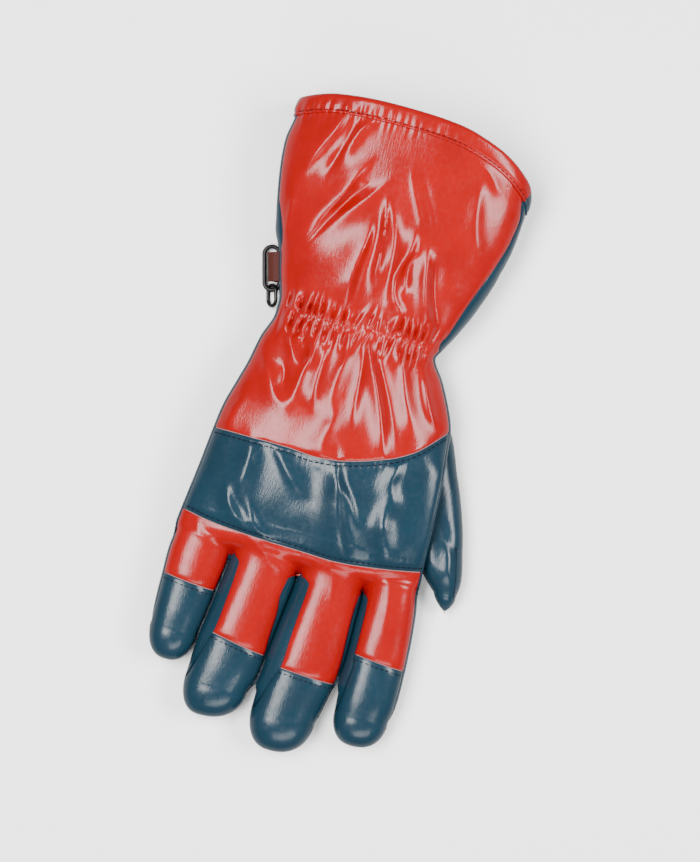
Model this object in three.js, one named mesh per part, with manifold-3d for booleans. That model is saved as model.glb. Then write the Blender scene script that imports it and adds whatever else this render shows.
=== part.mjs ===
// Coated work glove for the right hand, lying palm down with its cuff towards +Y and its thumb towards +X.
// All sizes are in millimetres. The floor is z = 0.
import * as THREE from 'three';
import { mergeVertices } from 'three/addons/utils/BufferGeometryUtils.js';
import Module from 'manifold-3d';

const wasm = await Module();
wasm.setup();

// Driving dimensions
const centreShift = { x: -3.1, y: 4.6 };   // brings the middle of the glove's plan to the origin
const wall = 2.4;                          // coated shell with its warm backing
const hemExtra = 0.6;                      // the hem is folded double, proud on both faces
const gap = 0.3;                           // clearance between neighbouring pieces
const sinkBelowFloor = 0.8;                // round undersides are made this low, then cut flat at the floor
const midHeight = 0.43;                    // height of the widest point, as a share of the section's height
const overPower = 2.35;                    // roundness of a section's crown
const underPower = 3.4;                    // and of its flatter underside
const tipPower = 0.8;                      // how bluntly a finger's end closes
const webY = -82.5;                        // end of the slits between the fingers
const elasticY = 50;                       // line of the wrist elastic
const ruffles = { pitch: 7.2, height: 1.7, reach: 6.5, waist: 1.6 };
const wristBulk = { depth: 2, reach: 9 };  // the gathered cloth thickens the wall inwards
const deepestValley = 1.3;                 // folds never thin the wall further than this

// The hand and cuff: left and right edge and crown height along the glove
const bodyRows = [
  { y: 176, left: -64.5, right: 65.0, crown: 46 },
  { y: 150, left: -66.0, right: 65.0, crown: 46 },
  { y: 138, left: -68.0, right: 64.4, crown: 45 },
  { y: 125, left: -67.4, right: 63.8, crown: 44 },
  { y: 110, left: -65.2, right: 62.3, crown: 42 },
  { y: 95, left: -62.2, right: 58.8, crown: 40 },
  { y: 89, left: -60.8, right: 57.2, crown: 39.2 },
  { y: 80, left: -56.6, right: 54.0, crown: 38 },
  { y: 70, left: -54.2, right: 50.0, crown: 36.5 },
  { y: 57, left: -50.6, right: 43.6, crown: 34.5 },
  { y: 50, left: -50.4, right: 39.6, crown: 33.5 },
  { y: 45, left: -51.0, right: 37.6, crown: 33.5 },
  { y: 35, left: -54.8, right: 44.0, crown: 34.5 },
  { y: 20, left: -58.0, right: 51.6, crown: 36 },
  { y: 10, left: -60.8, right: 55.0, crown: 37 },
  { y: -5, left: -65.0, right: 56.4, crown: 38 },
  { y: -20, left: -67.2, right: 57.4, crown: 38 },
  { y: -40, left: -69.6, right: 58.2, crown: 36 },
  { y: -60, left: -72.4, right: 58.8, crown: 31.5 },
  { y: -73, left: -74.0, right: 59.6, crown: 26.8 },
  { y: -84, left: -73.8, right: 60.2, crown: 21.5 },
];

// The fingers: outer edges and crown height, and the middle of each rounded tip
const fingers = {
  pinky: {
    rows: [
      { y: -74, left: -71.6, right: -43.4, crown: 20 },
      { y: -85, left: -74.2, right: -42.2, crown: 22.5 },
      { y: -100, left: -74.3, right: -44.2, crown: 21.5 },
      { y: -115, left: -74.2, right: -46.2, crown: 20.5 },
      { y: -126, left: -73.6, right: -48.0, crown: 19 },
    ],
    tip: { x: -61.0, y: -143.5, z: 8 },
  },
  ring: {
    rows: [
      { y: -74, left: -39.4, right: -6.4, crown: 22 },
      { y: -85, left: -40.7, right: -5.4, crown: 25 },
      { y: -100, left: -42.7, right: -7.2, crown: 23.5 },
      { y: -120, left: -45.6, right: -9.6, crown: 22.5 },
      { y: -138, left: -48.0, right: -11.4, crown: 21.5 },
      { y: -150, left: -48.8, right: -15.0, crown: 20 },
    ],
    tip: { x: -36.0, y: -167.5, z: 8.5 },
  },
  middle: {
    rows: [
      { y: -74, left: -2.6, right: 29.4, crown: 22.5 },
      { y: -85, left: -3.8, right: 30.6, crown: 25.5 },
      { y: -100, left: -5.6, right: 30.6, crown: 24 },
      { y: -120, left: -8.0, right: 30.4, crown: 23 },
      { y: -140, left: -9.9, right: 27.6, crown: 22 },
      { y: -157, left: -10.6, right: 24.0, crown: 20.5 },
    ],
    tip: { x: 4.5, y: -176.5, z: 8.5 },
  },
  index: {
    rows: [
      { y: -74, left: 33.0, right: 57.6, crown: 22 },
      { y: -85, left: 32.2, right: 61.0, crown: 25 },
      { y: -100, left: 32.0, right: 62.6, crown: 23.5 },
      { y: -120, left: 31.9, right: 63.5, crown: 22.5 },
      { y: -138, left: 31.9, right: 63.3, crown: 21 },
      { y: -148, left: 32.4, right: 61.4, crown: 19.5 },
    ],
    tip: { x: 46.0, y: -163.5, z: 8.5 },
  },
};

// The thumb, lying half under the hand's right edge
const thumb = {
  rows: [
    { y: 34, left: 12.0, right: 36.0, crown: 22 },
    { y: 20, left: 18.0, right: 48.5, crown: 21 },
    { y: 8, left: 24.0, right: 56.4, crown: 20 },
    { y: 0, left: 28.0, right: 60.0, crown: 19.5 },
    { y: -10, left: 33.0, right: 63.8, crown: 19 },
    { y: -20, left: 37.5, right: 68.0, crown: 19 },
    { y: -30, left: 41.5, right: 71.6, crown: 19 },
    { y: -40, left: 45.5, right: 74.8, crown: 19 },
    { y: -50, left: 49.5, right: 77.2, crown: 19 },
    { y: -60, left: 55.0, right: 79.6, crown: 18.5 },
    { y: -67, left: 60.5, right: 80.4, crown: 17 },
    { y: -74, left: 67.5, right: 79.6, crown: 14 },
  ],
  tip: { x: 75.5, y: -82.5, z: 6.5 },
};

// The hand's right edge is lifted where the thumb lies under it
const tuck = { from: 22, to: 50, rise: 20.5, startY: 6, fullY: -14, endFullY: -50, endY: -86 };

// Edges of the red back in plan, where they lie inside the outline of the palm
const backRows = [
  { y: 180, left: -80, right: 80 },
  { y: 146, left: -80, right: 80 },
  { y: 140, left: -66.8, right: 62.6 },
  { y: 125, left: -66.2, right: 62.2 },
  { y: 110, left: -64.2, right: 59.4 },
  { y: 100, left: -62.0, right: 56.4 },
  { y: 90, left: -58.4, right: 52.4 },
  { y: 80, left: -56.0, right: 48.4 },
  { y: 70, left: -53.4, right: 44.8 },
  { y: 60, left: -49.8, right: 41.6 },
  { y: 50, left: -49.4, right: 38.6 },
  { y: 42, left: -60.0, right: 50 },
  { y: 20, left: -80, right: 80 },
  { y: -200, left: -80, right: 80 },
];

// Seam lines across the glove, in plan
const hemEdge = [
  { x: -90, y: 154 }, { x: -64.5, y: 161 }, { x: -46, y: 165.5 }, { x: -15, y: 167 }, { x: 19.6, y: 165 },
  { x: 36.8, y: 160.5 }, { x: 48.8, y: 155.5 }, { x: 57, y: 150 }, { x: 62.4, y: 145 }, { x: 64.8, y: 139 },
  { x: 90, y: 90 },
];
const strapTop = [
  { x: -90, y: -17.5 }, { x: -65.8, y: -18.1 }, { x: -27, y: -18.6 }, { x: -9, y: -20 }, { x: 13.7, y: -15.9 },
  { x: 37.1, y: -6 }, { x: 54.6, y: 10 }, { x: 62, y: 18 }, { x: 90, y: 40 },
];
const strapBottom = [
  { x: -90, y: -61 }, { x: -70, y: -64 }, { x: -56, y: -66.5 }, { x: -36.6, y: -68.4 }, { x: -6.3, y: -69.9 },
  { x: 13.7, y: -70.7 }, { x: 38, y: -68.3 }, { x: 58.9, y: -64.9 }, { x: 90, y: -60 },
];
const hemDepth = 9;

// Caps and side walls of the fingers: the cap's seam on both edges, and the back's left seam
const capSeams = {
  pinky: { leftY: -98.6, rightY: -101.9 },
  ring: { leftY: -121.5, rightY: -128.4 },
  middle: { leftY: -131.1, rightY: -134.0 },
  index: { leftY: -114.9, rightY: -118.0 },
};
const slits = [
  { name: 'fork_pinky_ring', before: 'pinky', after: 'ring', endY: -136, seamIn: 5.2 },
  { name: 'fork_ring_middle', before: 'ring', after: 'middle', endY: -157, seamIn: 6.4 },
  { name: 'fork_middle_index', before: 'middle', after: 'index', endY: -154, seamIn: 3.2 },
];
const forkFoot = { atWeb: 4.5, atTip: 8 };   // height of the fork's seam to the palm

// The clip beside the cuff's left seam, turned against the glove: a ring, a loose link and the label's tape
const clip = {
  centre: { x: -58.4, y: 70.8, z: 3.6 },
  turn: THREE.MathUtils.degToRad(14.5),
  rod: 2.35,
  width: 10.4,
  length: 25.4,
};
const link = {
  place: { x: 0, y: -14.4, z: 0.2 },
  lean: THREE.MathUtils.degToRad(52),
  rod: 2,
  width: 9,
  length: 13,
};
const label = { low: -7.3, high: 8, cloth: 1.7, eyeWall: 0.9, eyeSlack: 0.85 };
const labelPath = [
  { x: 4.9, z: 15.2 }, { x: 1.6, z: 14.9 }, { x: -0.7, z: 13 }, { x: -1.2, z: 9.6 }, { x: 0.2, z: 6.6 },
  { x: 2.4, z: 4.8 }, { x: 4.0, z: 3.6 },
];

// Long folds of the cloth on the back: ridges are positive, valleys negative
const folds = [
  { x0: 6, y0: 128, x1: -24, y1: 92, width: 8, height: 3.0 },
  { x0: 0, y0: 116, x1: -33, y1: 80, width: 7, height: -2.6 },
  { x0: -14, y0: 156, x1: -26, y1: 124, width: 9, height: 2.2 },
  { x0: -34, y0: 100, x1: -28, y1: 66, width: 13, height: 2.4 },
  { x0: 2, y0: 122, x1: -6, y1: 68, width: 6, height: -1.8 },
  { x0: 12, y0: 108, x1: 22, y1: 62, width: 8, height: 2.6 },
  { x0: 42, y0: 142, x1: 36, y1: 92, width: 10, height: 2.4 },
  { x0: 30, y0: 84, x1: 24, y1: 60, width: 6, height: -1.8 },
  { x0: 2, y0: 34, x1: -6, y1: -16, width: 7, height: 2.4 },
  { x0: -26, y0: 36, x1: -36, y1: 2, width: 8, height: 2.2 },
  { x0: 26, y0: 28, x1: 40, y1: -2, width: 7, height: 2.0 },
  { x0: -14, y0: 34, x1: -20, y1: -6, width: 6, height: -1.8 },
];

const paint = {
  red: { color: 0xd52c20, roughness: 0.25, metalness: 0 },
  blue: { color: 0x24475f, roughness: 0.28, metalness: 0 },
  brown: { color: 0x6e3428, roughness: 0.6, metalness: 0 },
  black: { color: 0x1e1c1a, roughness: 0.4, metalness: 0 },
};

const glove = new THREE.Group();
glove.position.set(centreShift.x, centreShift.y, 0);

const lerp = THREE.MathUtils.lerp;
const smooth = THREE.MathUtils.smoothstep;

// Value of one column of a table at a place along it, on a smooth curve through the rows
function valueAt(rows, key, place, column) {
  const rising = rows[0][key] < rows[rows.length - 1][key];
  const list = rising ? rows : [...rows].reverse();
  if (place <= list[0][key]) return list[0][column];
  if (place >= list[list.length - 1][key]) return list[list.length - 1][column];
  const i = list.findIndex((row) => row[key] > place) - 1;
  const [a, b] = [list[i], list[i + 1]];
  const before = list[Math.max(i - 1, 0)];
  const after = list[Math.min(i + 2, list.length - 1)];
  const span = b[key] - a[key];
  const slopeA = (b[column] - before[column]) / (b[key] - before[key]);
  const slopeB = (after[column] - a[column]) / (after[key] - a[key]);
  const t = (place - a[key]) / span;
  const t2 = t * t;
  const t3 = t2 * t;
  return (2 * t3 - 3 * t2 + 1) * a[column] + (t3 - 2 * t2 + t) * span * slopeA
    + (3 * t2 - 2 * t3) * b[column] + (t3 - t2) * span * slopeB;
}

// Height that the thumb lifts the underside of the hand and the index finger
function tuckRise(x, y) {
  const across = smooth(x, tuck.from, tuck.to);
  const along = y > tuck.endFullY
    ? 1 - smooth(y, tuck.fullY, tuck.startY)
    : smooth(y, tuck.endY, tuck.endFullY);
  return tuck.rise * across * along;
}

// Height of the folds and the wrist's ruffles on the back
function foldHeight(x, y) {
  let height = 0;
  for (const fold of folds) {
    const along = new THREE.Vector2(fold.x1 - fold.x0, fold.y1 - fold.y0);
    const reach = along.length();
    along.normalize();
    const s = (x - fold.x0) * along.x + (y - fold.y0) * along.y;
    const d = (x - fold.x0) * -along.y + (y - fold.y0) * along.x;
    const past = s < 0 ? -s : Math.max(s - reach, 0);
    height += fold.height * Math.exp(-((d / fold.width) ** 2 + (past / fold.width) ** 2) * 2);
  }
  height = Math.max(height, -deepestValley);
  const above = Math.exp(-(((y - elasticY - ruffles.reach) / ruffles.reach) ** 2));
  const below = Math.exp(-(((y - elasticY + ruffles.reach) / ruffles.reach) ** 2));
  const phase = (2 * Math.PI * x) / ruffles.pitch;
  height += ruffles.height * (above * Math.cos(phase) + below * Math.cos(phase + 1.2));
  height -= ruffles.waist * Math.exp(-(((y - elasticY) / 3) ** 2));
  return height;
}

// Places across a section, from -1 at its left edge to 1 at its right edge
function spread(edgeSteps, middleSteps) {
  const middle = 0.86;
  const places = [];
  for (let i = 0; i < edgeSteps; i += 1) {
    const angle = (i / edgeSteps) * Math.acos(middle);
    places.push(Math.cos(angle));
  }
  for (let i = 0; i <= middleSteps; i += 1) places.push(lerp(middle, -middle, i / middleSteps));
  for (let i = edgeSteps - 1; i > 0; i -= 1) places.push(-Math.cos((i / edgeSteps) * Math.acos(middle)));
  return places;
}

// One closed loop of points: a round crown above, a flatter underside below
function sectionLoop(section, inset, steps) {
  const centre = (section.left + section.right) / 2;
  const half = (section.right - section.left) / 2 - inset;
  const scale = section.scale ?? 1;
  const points = [];
  const add = (place, side) => {
    const x = centre + place * half * scale;
    const foot = (inset > 0 ? inset : inset - sinkBelowFloor) + (section.lifted ? tuckRise(x, section.y) : 0);
    const crown = section.crown - inset;
    const middle = lerp(foot, crown, midHeight);
    const power = side > 0 ? overPower : underPower;
    const bulge = (1 - Math.abs(place) ** power) ** (1 / power);
    let z = middle + (side > 0 ? crown - middle : foot - middle) * bulge;
    const bulk = wristBulk.depth * Math.exp(-(((section.y - elasticY) / wristBulk.reach) ** 2));
    if (side > 0 && section.folded) z += foldHeight(x, section.y) * smooth(1 - Math.abs(place), 0.02, 0.2);
    if (side > 0 && section.lifted && inset > 0) z -= bulk * bulge;
    if (scale < 1) z = lerp(section.tipZ, z, scale);
    points.push(new THREE.Vector3(x, section.y, z));
  };
  for (const place of steps.over) add(place, 1);
  add(-1, 1);
  for (const place of steps.under) add(-place, -1);
  return points;
}

// Solid skinned over loops that all have the same number of points
function skin(loops) {
  const count = loops[0].length;
  const positions = loops.flat().flatMap((p) => [p.x, p.y, p.z]);
  const indices = [];
  for (let i = 0; i < loops.length - 1; i += 1) {
    for (let j = 0; j < count; j += 1) {
      const next = (j + 1) % count;
      const [a, b, c, d] = [i * count + j, i * count + next, (i + 1) * count + j, (i + 1) * count + next];
      indices.push(a, c, b, b, c, d);
    }
  }
  for (const [at, flip] of [[0, false], [loops.length - 1, true]]) {
    const middle = loops[at].reduce((sum, p) => sum.add(p), new THREE.Vector3()).divideScalar(count);
    const hub = positions.length / 3;
    positions.push(middle.x, middle.y, middle.z);
    for (let j = 0; j < count; j += 1) {
      const [a, b] = [at * count + j, at * count + ((j + 1) % count)];
      indices.push(...(flip ? [hub, b, a] : [hub, a, b]));
    }
  }
  const geometry = new THREE.BufferGeometry();
  geometry.setAttribute('position', new THREE.Float32BufferAttribute(positions, 3));
  geometry.setIndex(indices);
  return geometry;
}

function toSolid(geometry) {
  const plain = geometry.clone();
  plain.deleteAttribute('normal');
  plain.deleteAttribute('uv');
  const merged = mergeVertices(plain, 1e-4);
  const triVerts = new Uint32Array(merged.index.array);
  const vertProperties = new Float32Array(merged.attributes.position.array);
  const solid = new wasm.Manifold(new wasm.Mesh({ numProp: 3, vertProperties, triVerts }));
  if (solid.volume() >= 0) return solid;
  const turned = triVerts.map((_, k) => triVerts[k - (k % 3) + [0, 2, 1][k % 3]]);
  return new wasm.Manifold(new wasm.Mesh({ numProp: 3, vertProperties, triVerts: turned }));
}

function toGeometry(solid) {
  const mesh = solid.getMesh();
  const geometry = new THREE.BufferGeometry();
  geometry.setAttribute('position', new THREE.Float32BufferAttribute(mesh.vertProperties, 3));
  geometry.setIndex(Array.from(mesh.triVerts));
  geometry.computeVertexNormals();
  return geometry;
}

const bodySteps = { over: spread(2, 30), under: spread(2, 6) };
const bodyInnerSteps = { over: spread(2, 8), under: spread(2, 5) };
const tubeSteps = { over: spread(2, 4), under: spread(2, 2) };
const tubeInnerSteps = { over: spread(2, 2), under: spread(2, 1) };

// Stations along the hand and cuff, closer at the wrist's ruffles
const bodyStations = [
  176, 152, 138, 122, 107, 94, 83, 73, 65, 60, 56.5, 53.5, 50, 46.5, 43.5, 39.5, 34, 23, 9,
  -8, -28, -50, -62, -75,
];
const bodyInnerStations = [180, 138, 107, 88, 70, 57, 50, 45, 35, 9, -8, -22, -44, -58, -68, -76];

function bodySolid(inset, folded) {
  const stations = folded ? [...bodyStations, webY - inset] : [...bodyInnerStations, webY + inset];
  const loops = stations.map((y) => sectionLoop({
    y,
    left: valueAt(bodyRows, 'y', y, 'left'),
    right: valueAt(bodyRows, 'y', y, 'right'),
    crown: valueAt(bodyRows, 'y', y, 'crown'),
    lifted: true,
    folded,
  }, inset, folded ? bodySteps : bodyInnerSteps));
  return toSolid(skin(loops));
}

// A finger or the thumb: its rows, then rings that close its round tip
function tubeSolid(shape, inset, lifted, spacing) {
  const first = shape.rows[0].y;
  const last = shape.rows[shape.rows.length - 1].y;
  const count = Math.round((first - last) / spacing);
  const loops = [];
  const rowAt = (y) => ({
    y,
    left: valueAt(shape.rows, 'y', y, 'left'),
    right: valueAt(shape.rows, 'y', y, 'right'),
    crown: valueAt(shape.rows, 'y', y, 'crown'),
    lifted,
  });
  const steps = inset > 0 ? tubeInnerSteps : tubeSteps;
  for (let i = 0; i <= count; i += 1) {
    loops.push(sectionLoop(rowAt(lerp(first, last, i / count)), inset, steps));
  }
  const end = rowAt(last);
  const tipY = shape.tip.y + inset;
  for (const angle of inset > 0 ? [35, 62, 84] : [28, 52, 72, 86]) {
    const turn = THREE.MathUtils.degToRad(angle);
    const middle = lerp((end.left + end.right) / 2, shape.tip.x, 1 - Math.cos(turn));
    const half = (end.right - end.left) / 2;
    loops.push(sectionLoop({
      ...end,
      y: last + (tipY - last) * Math.sin(turn),
      left: middle - half,
      right: middle + half,
      scale: Math.cos(turn) ** tipPower,
      tipZ: shape.tip.z,
    }, inset, steps));
  }
  return toSolid(skin(loops));
}

// Upright prism over a closed outline in plan
function prism(points, low = -20, high = 120) {
  const shape = new THREE.Shape(points.map((p) => new THREE.Vector2(p.x, p.y)));
  const geometry = new THREE.ExtrudeGeometry(shape, { depth: high - low, bevelEnabled: false });
  geometry.translate(0, 0, low);
  return toSolid(geometry);
}

// Plan of the band between two seam lines, each moved along the glove by its own amount
function band(upper, upperMove, lower, lowerMove) {
  const top = upper.map((p) => ({ x: p.x, y: p.y + upperMove }));
  const bottom = lower.map((p) => ({ x: p.x, y: p.y + lowerMove })).reverse();
  return prism([...top, ...bottom]);
}

// Space above the side seams: a slab whose underside follows the middle of the sections
function aboveSeams(move) {
  const across = [-90, 20, 27, 33, 39, 45, 51, 90];
  const places = [];
  for (let y = 190; y >= -190; y -= 15.2) places.push(y);
  const rows = places.map((y) => {
    const finger = 1 - smooth(y, -110, -66);
    const crown = lerp(valueAt(bodyRows, 'y', y, 'crown'), 21, finger);
    return across.map((x) => new THREE.Vector3(x, y, lerp(tuckRise(x, y), crown, midHeight) + move));
  });
  const loops = rows.map((row) => [
    ...row,
    new THREE.Vector3(90, row[0].y, 150),
    new THREE.Vector3(-90, row[0].y, 150),
  ]);
  return toSolid(skin(loops));
}

// Plan of the back between its side seams, with a slit between each two fingers
function backPlan(grow) {
  const sides = backRows.filter((row) => row.y > -100);
  const left = sides.map((row) => ({ x: row.left - grow, y: row.y }));
  const right = sides.map((row) => ({ x: row.right + grow, y: row.y })).reverse();
  const outline = prism([...left, { x: -80 - grow, y: -200 }, { x: 80 + grow, y: -200 }, ...right]);
  let plan = outline;
  for (const slit of slits) plan = plan.subtract(slitPlan(slit, -grow));
  return plan;
}

const edgeOf = (finger, side, y) => valueAt(fingers[finger].rows, 'y', y, side);

// Plan of one slit, from the right edge of one finger's back to the left seam of the next
function slitPlan(slit, grow) {
  const top = webY - 1 + grow;
  const atTop = 0.7;                       // share of its width that a slit has at the web
  const atTip = 0.25;                      // share of the seam's inset that is left at the tip
  const [overhang, leastWidth] = [0.5, 1.2];
  const leftSide = [];
  const rightSide = [];
  for (const y of [top, -92, -110, -132, -156, -200]) {
    const taper = smooth(y, slit.endY - 6, webY - 30);
    const rightEdge = edgeOf(slit.before, 'right', y) + overhang;
    const seamIn = slit.seamIn * lerp(atTip, 1, taper) * (y === top ? atTop : 1);
    const seam = Math.max(edgeOf(slit.after, 'left', y) + seamIn, rightEdge + leastWidth);
    leftSide.push({ x: rightEdge - grow, y });
    rightSide.push({ x: seam + grow, y });
  }
  return prism([...leftSide, ...rightSide.reverse()]);
}

// Room for the side walls of a slit, above their seam to the palm
function forkRoom(slit, grow) {
  const reach = 8;
  const leftSide = [];
  const rightSide = [];
  for (const y of [webY + 14, -100, -120, slit.endY - grow]) {
    leftSide.push({ x: edgeOf(slit.before, 'right', y) - reach - grow, y });
    rightSide.push({ x: edgeOf(slit.after, 'left', y) + reach + grow, y });
  }
  const plan = prism([...leftSide, ...rightSide.reverse()]);
  const foot = [
    new THREE.Vector2(webY + 20, forkFoot.atWeb - grow),
    new THREE.Vector2(slit.endY - 20, forkFoot.atTip - grow),
    new THREE.Vector2(slit.endY - 20, 80),
    new THREE.Vector2(webY + 20, 80),
  ];
  const side = new THREE.ExtrudeGeometry(new THREE.Shape(foot), { depth: 200, bevelEnabled: false });
  side.rotateX(Math.PI / 2);
  side.rotateZ(Math.PI / 2);
  side.translate(-100, 0, 0);
  return plan.intersect(toSolid(side));
}

// Plan of one finger's cap, from its seam to past its tip
function capPlan(name, grow) {
  const { leftY, rightY } = capSeams[name];
  const order = Object.keys(fingers);
  const at = order.indexOf(name);
  const y = (leftY + rightY) / 2;
  const leftX = at === 0 ? -90 : (edgeOf(order[at - 1], 'right', y) + edgeOf(name, 'left', y)) / 2;
  const rightX = at === 3 ? 90 : (edgeOf(name, 'right', y) + edgeOf(order[at + 1], 'left', y)) / 2;
  const slope = (rightY - leftY) / (edgeOf(name, 'right', y) - edgeOf(name, 'left', y));
  const middleX = (edgeOf(name, 'right', y) + edgeOf(name, 'left', y)) / 2;
  const seamY = (x) => y + slope * (x - middleX) + grow;
  const endLeft = edgeOf(name, 'left', -160) - 4;
  const endRight = edgeOf(name, 'right', -160) + 4;
  return prism([
    { x: leftX, y: seamY(leftX) },
    { x: Math.min(leftX, at === 0 ? -90 : endLeft), y: -190 },
    { x: Math.max(rightX, at === 3 ? 90 : endRight), y: -190 },
    { x: rightX, y: seamY(rightX) },
  ]);
}

const half = gap / 2;
const corner = { x: 120, y: 220 };         // well outside the glove
const aboveFloor = prism([
  { x: -corner.x, y: -corner.y },
  { x: corner.x, y: -corner.y },
  { x: corner.x, y: corner.y },
  { x: -corner.x, y: corner.y },
], 0, 120);
const outerTubes = Object.values(fingers).map((finger) => tubeSolid(finger, 0, true, 17));
const innerTubes = Object.values(fingers).map((finger) => tubeSolid(finger, wall, true, 20));
const join = (solids) => solids.reduce((sum, solid) => sum.add(solid));
const handOuter = join([bodySolid(0, true), ...outerTubes]).intersect(aboveFloor);
const handInner = join([bodySolid(wall, false), ...innerTubes]);
const thumbOuter = tubeSolid(thumb, 0, false, 12).intersect(aboveFloor);
const thumbInner = tubeSolid(thumb, wall, false, 16);
const roomTubes = Object.values(fingers).map((finger) => tubeSolid(finger, -gap, true, 17));
const handRoom = join([bodySolid(-gap, true), ...roomTubes]);
const shell = handOuter.subtract(handInner).subtract(thumbInner);

const overSeams = aboveSeams(half);
const overSeamsGrown = aboveSeams(-half);
const backRoom = overSeams.intersect(backPlan(-half));
const backRoomGrown = overSeamsGrown.intersect(backPlan(half));
const farEnd = [{ x: -90, y: 200 }, { x: 90, y: 200 }];
const farTip = [{ x: -90, y: -200 }, { x: 90, y: -200 }];
const glovePlan = band(hemEdge, -hemDepth - half, farTip, 0);
const hemPlan = band(hemEdge, 0, hemEdge, -hemDepth + half);

const biggest = (solid) => solid.decompose().reduce((a, b) => (a.volume() > b.volume() ? a : b));

function addPiece(name, solid, look) {
  const piece = biggest(solid);
  const mesh = new THREE.Mesh(toGeometry(piece), new THREE.MeshStandardMaterial(paint[look]));
  mesh.name = name;
  glove.add(mesh);
}

const upper = shell.intersect(backRoom).intersect(glovePlan);
const under = shell.subtract(backRoomGrown).intersect(glovePlan);
const caps = Object.keys(fingers);

addPiece('back_panel', upper.intersect(band(farEnd, 0, strapTop, half)), 'red');
addPiece('knuckle_strap', upper.intersect(band(strapTop, -half, strapBottom, half)), 'blue');
let backs = upper.intersect(band(strapBottom, -half, farTip, 0));
for (const name of caps) backs = backs.subtract(capPlan(name, half));
addPiece('finger_backs', backs, 'red');
for (const name of caps) addPiece(`fingertip_${name}`, upper.intersect(capPlan(name, -half)), 'blue');

let palm = under;
for (const slit of slits) {
  addPiece(slit.name, under.intersect(forkRoom(slit, -half)), 'blue');
  palm = palm.subtract(forkRoom(slit, half));
}
const wristLine = [{ x: -90, y: elasticY }, { x: 90, y: elasticY }];
addPiece('palm_panel', palm.intersect(band(wristLine, -half, farTip, 0)), 'blue');
addPiece('cuff_palm', palm.intersect(band(farEnd, 0, wristLine, half)), 'blue');

const hemShell = bodySolid(-hemExtra, true).intersect(aboveFloor).subtract(bodySolid(wall + hemExtra, false));
const hem = hemShell.intersect(hemPlan);
addPiece('hem_back', hem.intersect(backRoom), 'red');
addPiece('hem_palm', hem.subtract(backRoomGrown), 'blue');
addPiece('thumb', thumbOuter.subtract(thumbInner).subtract(handRoom), 'blue');

// Closed ring of round rod, along an oblong with round ends, in the plane z = 0
function oblongRing(width, length, rod, endSteps, sides) {
  const round = (width - rod) / 2;
  const straight = (length - rod) / 2 - round;
  const loops = [];
  for (const end of [1, -1]) {
    for (let i = 0; i <= endSteps; i += 1) {
      const angle = (i / endSteps) * Math.PI + (end > 0 ? 0 : Math.PI);
      const out = new THREE.Vector3(Math.cos(angle), Math.sin(angle), 0);
      const middle = out.clone().multiplyScalar(round).add(new THREE.Vector3(0, end * straight, 0));
      loops.push(Array.from({ length: sides }, (_, k) => {
        const turn = ((k + 0.5) / sides) * 2 * Math.PI;
        return middle.clone()
          .addScaledVector(out, Math.cos(turn) * rod / 2)
          .add(new THREE.Vector3(0, 0, Math.sin(turn) * rod / 2));
      }));
    }
  }
  const positions = loops.flat().flatMap((p) => [p.x, p.y, p.z]);
  const indices = [];
  loops.forEach((_, i) => {
    for (let k = 0; k < sides; k += 1) {
      const [i2, k2] = [(i + 1) % loops.length, (k + 1) % sides];
      const [a, b, c, d] = [i * sides + k, i * sides + k2, i2 * sides + k, i2 * sides + k2];
      indices.push(a, c, b, b, c, d);
    }
  });
  const geometry = new THREE.BufferGeometry();
  geometry.setAttribute('position', new THREE.Float32BufferAttribute(positions, 3));
  geometry.setIndex(indices);
  return geometry;
}

const clipPlace = new THREE.Matrix4().makeRotationZ(clip.turn);
clipPlace.setPosition(clip.centre.x, clip.centre.y, clip.centre.z);

// The label's tape leaves the side seam, turns down and closes in an eye around the ring's right bar
function labelSolid() {
  const curve = new THREE.SplineCurve(labelPath.map((p) => new THREE.Vector2(p.x, p.z - clip.centre.z)));
  const steps = 12;
  const [outer, inner] = [[], []];
  for (let i = 0; i <= steps; i += 1) {
    const point = curve.getPoint(i / steps);
    const along = curve.getTangent(i / steps);
    const side = new THREE.Vector2(-along.y, along.x).multiplyScalar(label.cloth / 2);
    outer.push(point.clone().add(side));
    inner.push(point.clone().sub(side));
  }
  const tape = new THREE.ExtrudeGeometry(new THREE.Shape([...outer, ...inner.reverse()]), {
    depth: label.high - label.low,
    bevelEnabled: false,
  });
  tape.rotateX(Math.PI / 2);
  tape.translate(0, label.high, 0);
  const bar = (clip.width - clip.rod) / 2;
  const eye = (radius, spare) => {
    const geometry = new THREE.CylinderGeometry(radius, radius, label.high - label.low + spare, 14);
    geometry.translate(bar, (label.high + label.low) / 2, 0);
    return toSolid(geometry.applyMatrix4(clipPlace));
  };
  const hole = clip.rod / 2 + label.eyeSlack;
  return toSolid(tape.applyMatrix4(clipPlace))
    .add(eye(hole + label.eyeWall, 0))
    .subtract(eye(hole, 2))
    .subtract(handRoom);
}

const hook = oblongRing(clip.width, clip.length, clip.rod, 6, 6).applyMatrix4(clipPlace);
const linkPlace = new THREE.Matrix4().makeRotationY(-link.lean);
linkPlace.setPosition(link.place.x, link.place.y, link.place.z);
const linkRing = oblongRing(link.width, link.length, link.rod, 5, 6);
linkRing.applyMatrix4(linkPlace).applyMatrix4(clipPlace);
addPiece('label_loop', labelSolid(), 'brown');
addPiece('clip_hook', toSolid(hook), 'black');
addPiece('clip_link', toSolid(linkRing), 'black');

export default glove;
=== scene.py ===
# Coated work glove for the right hand, lying palm down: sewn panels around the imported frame
import math

import bpy
import numpy as np
from mathutils import Matrix, Vector


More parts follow.
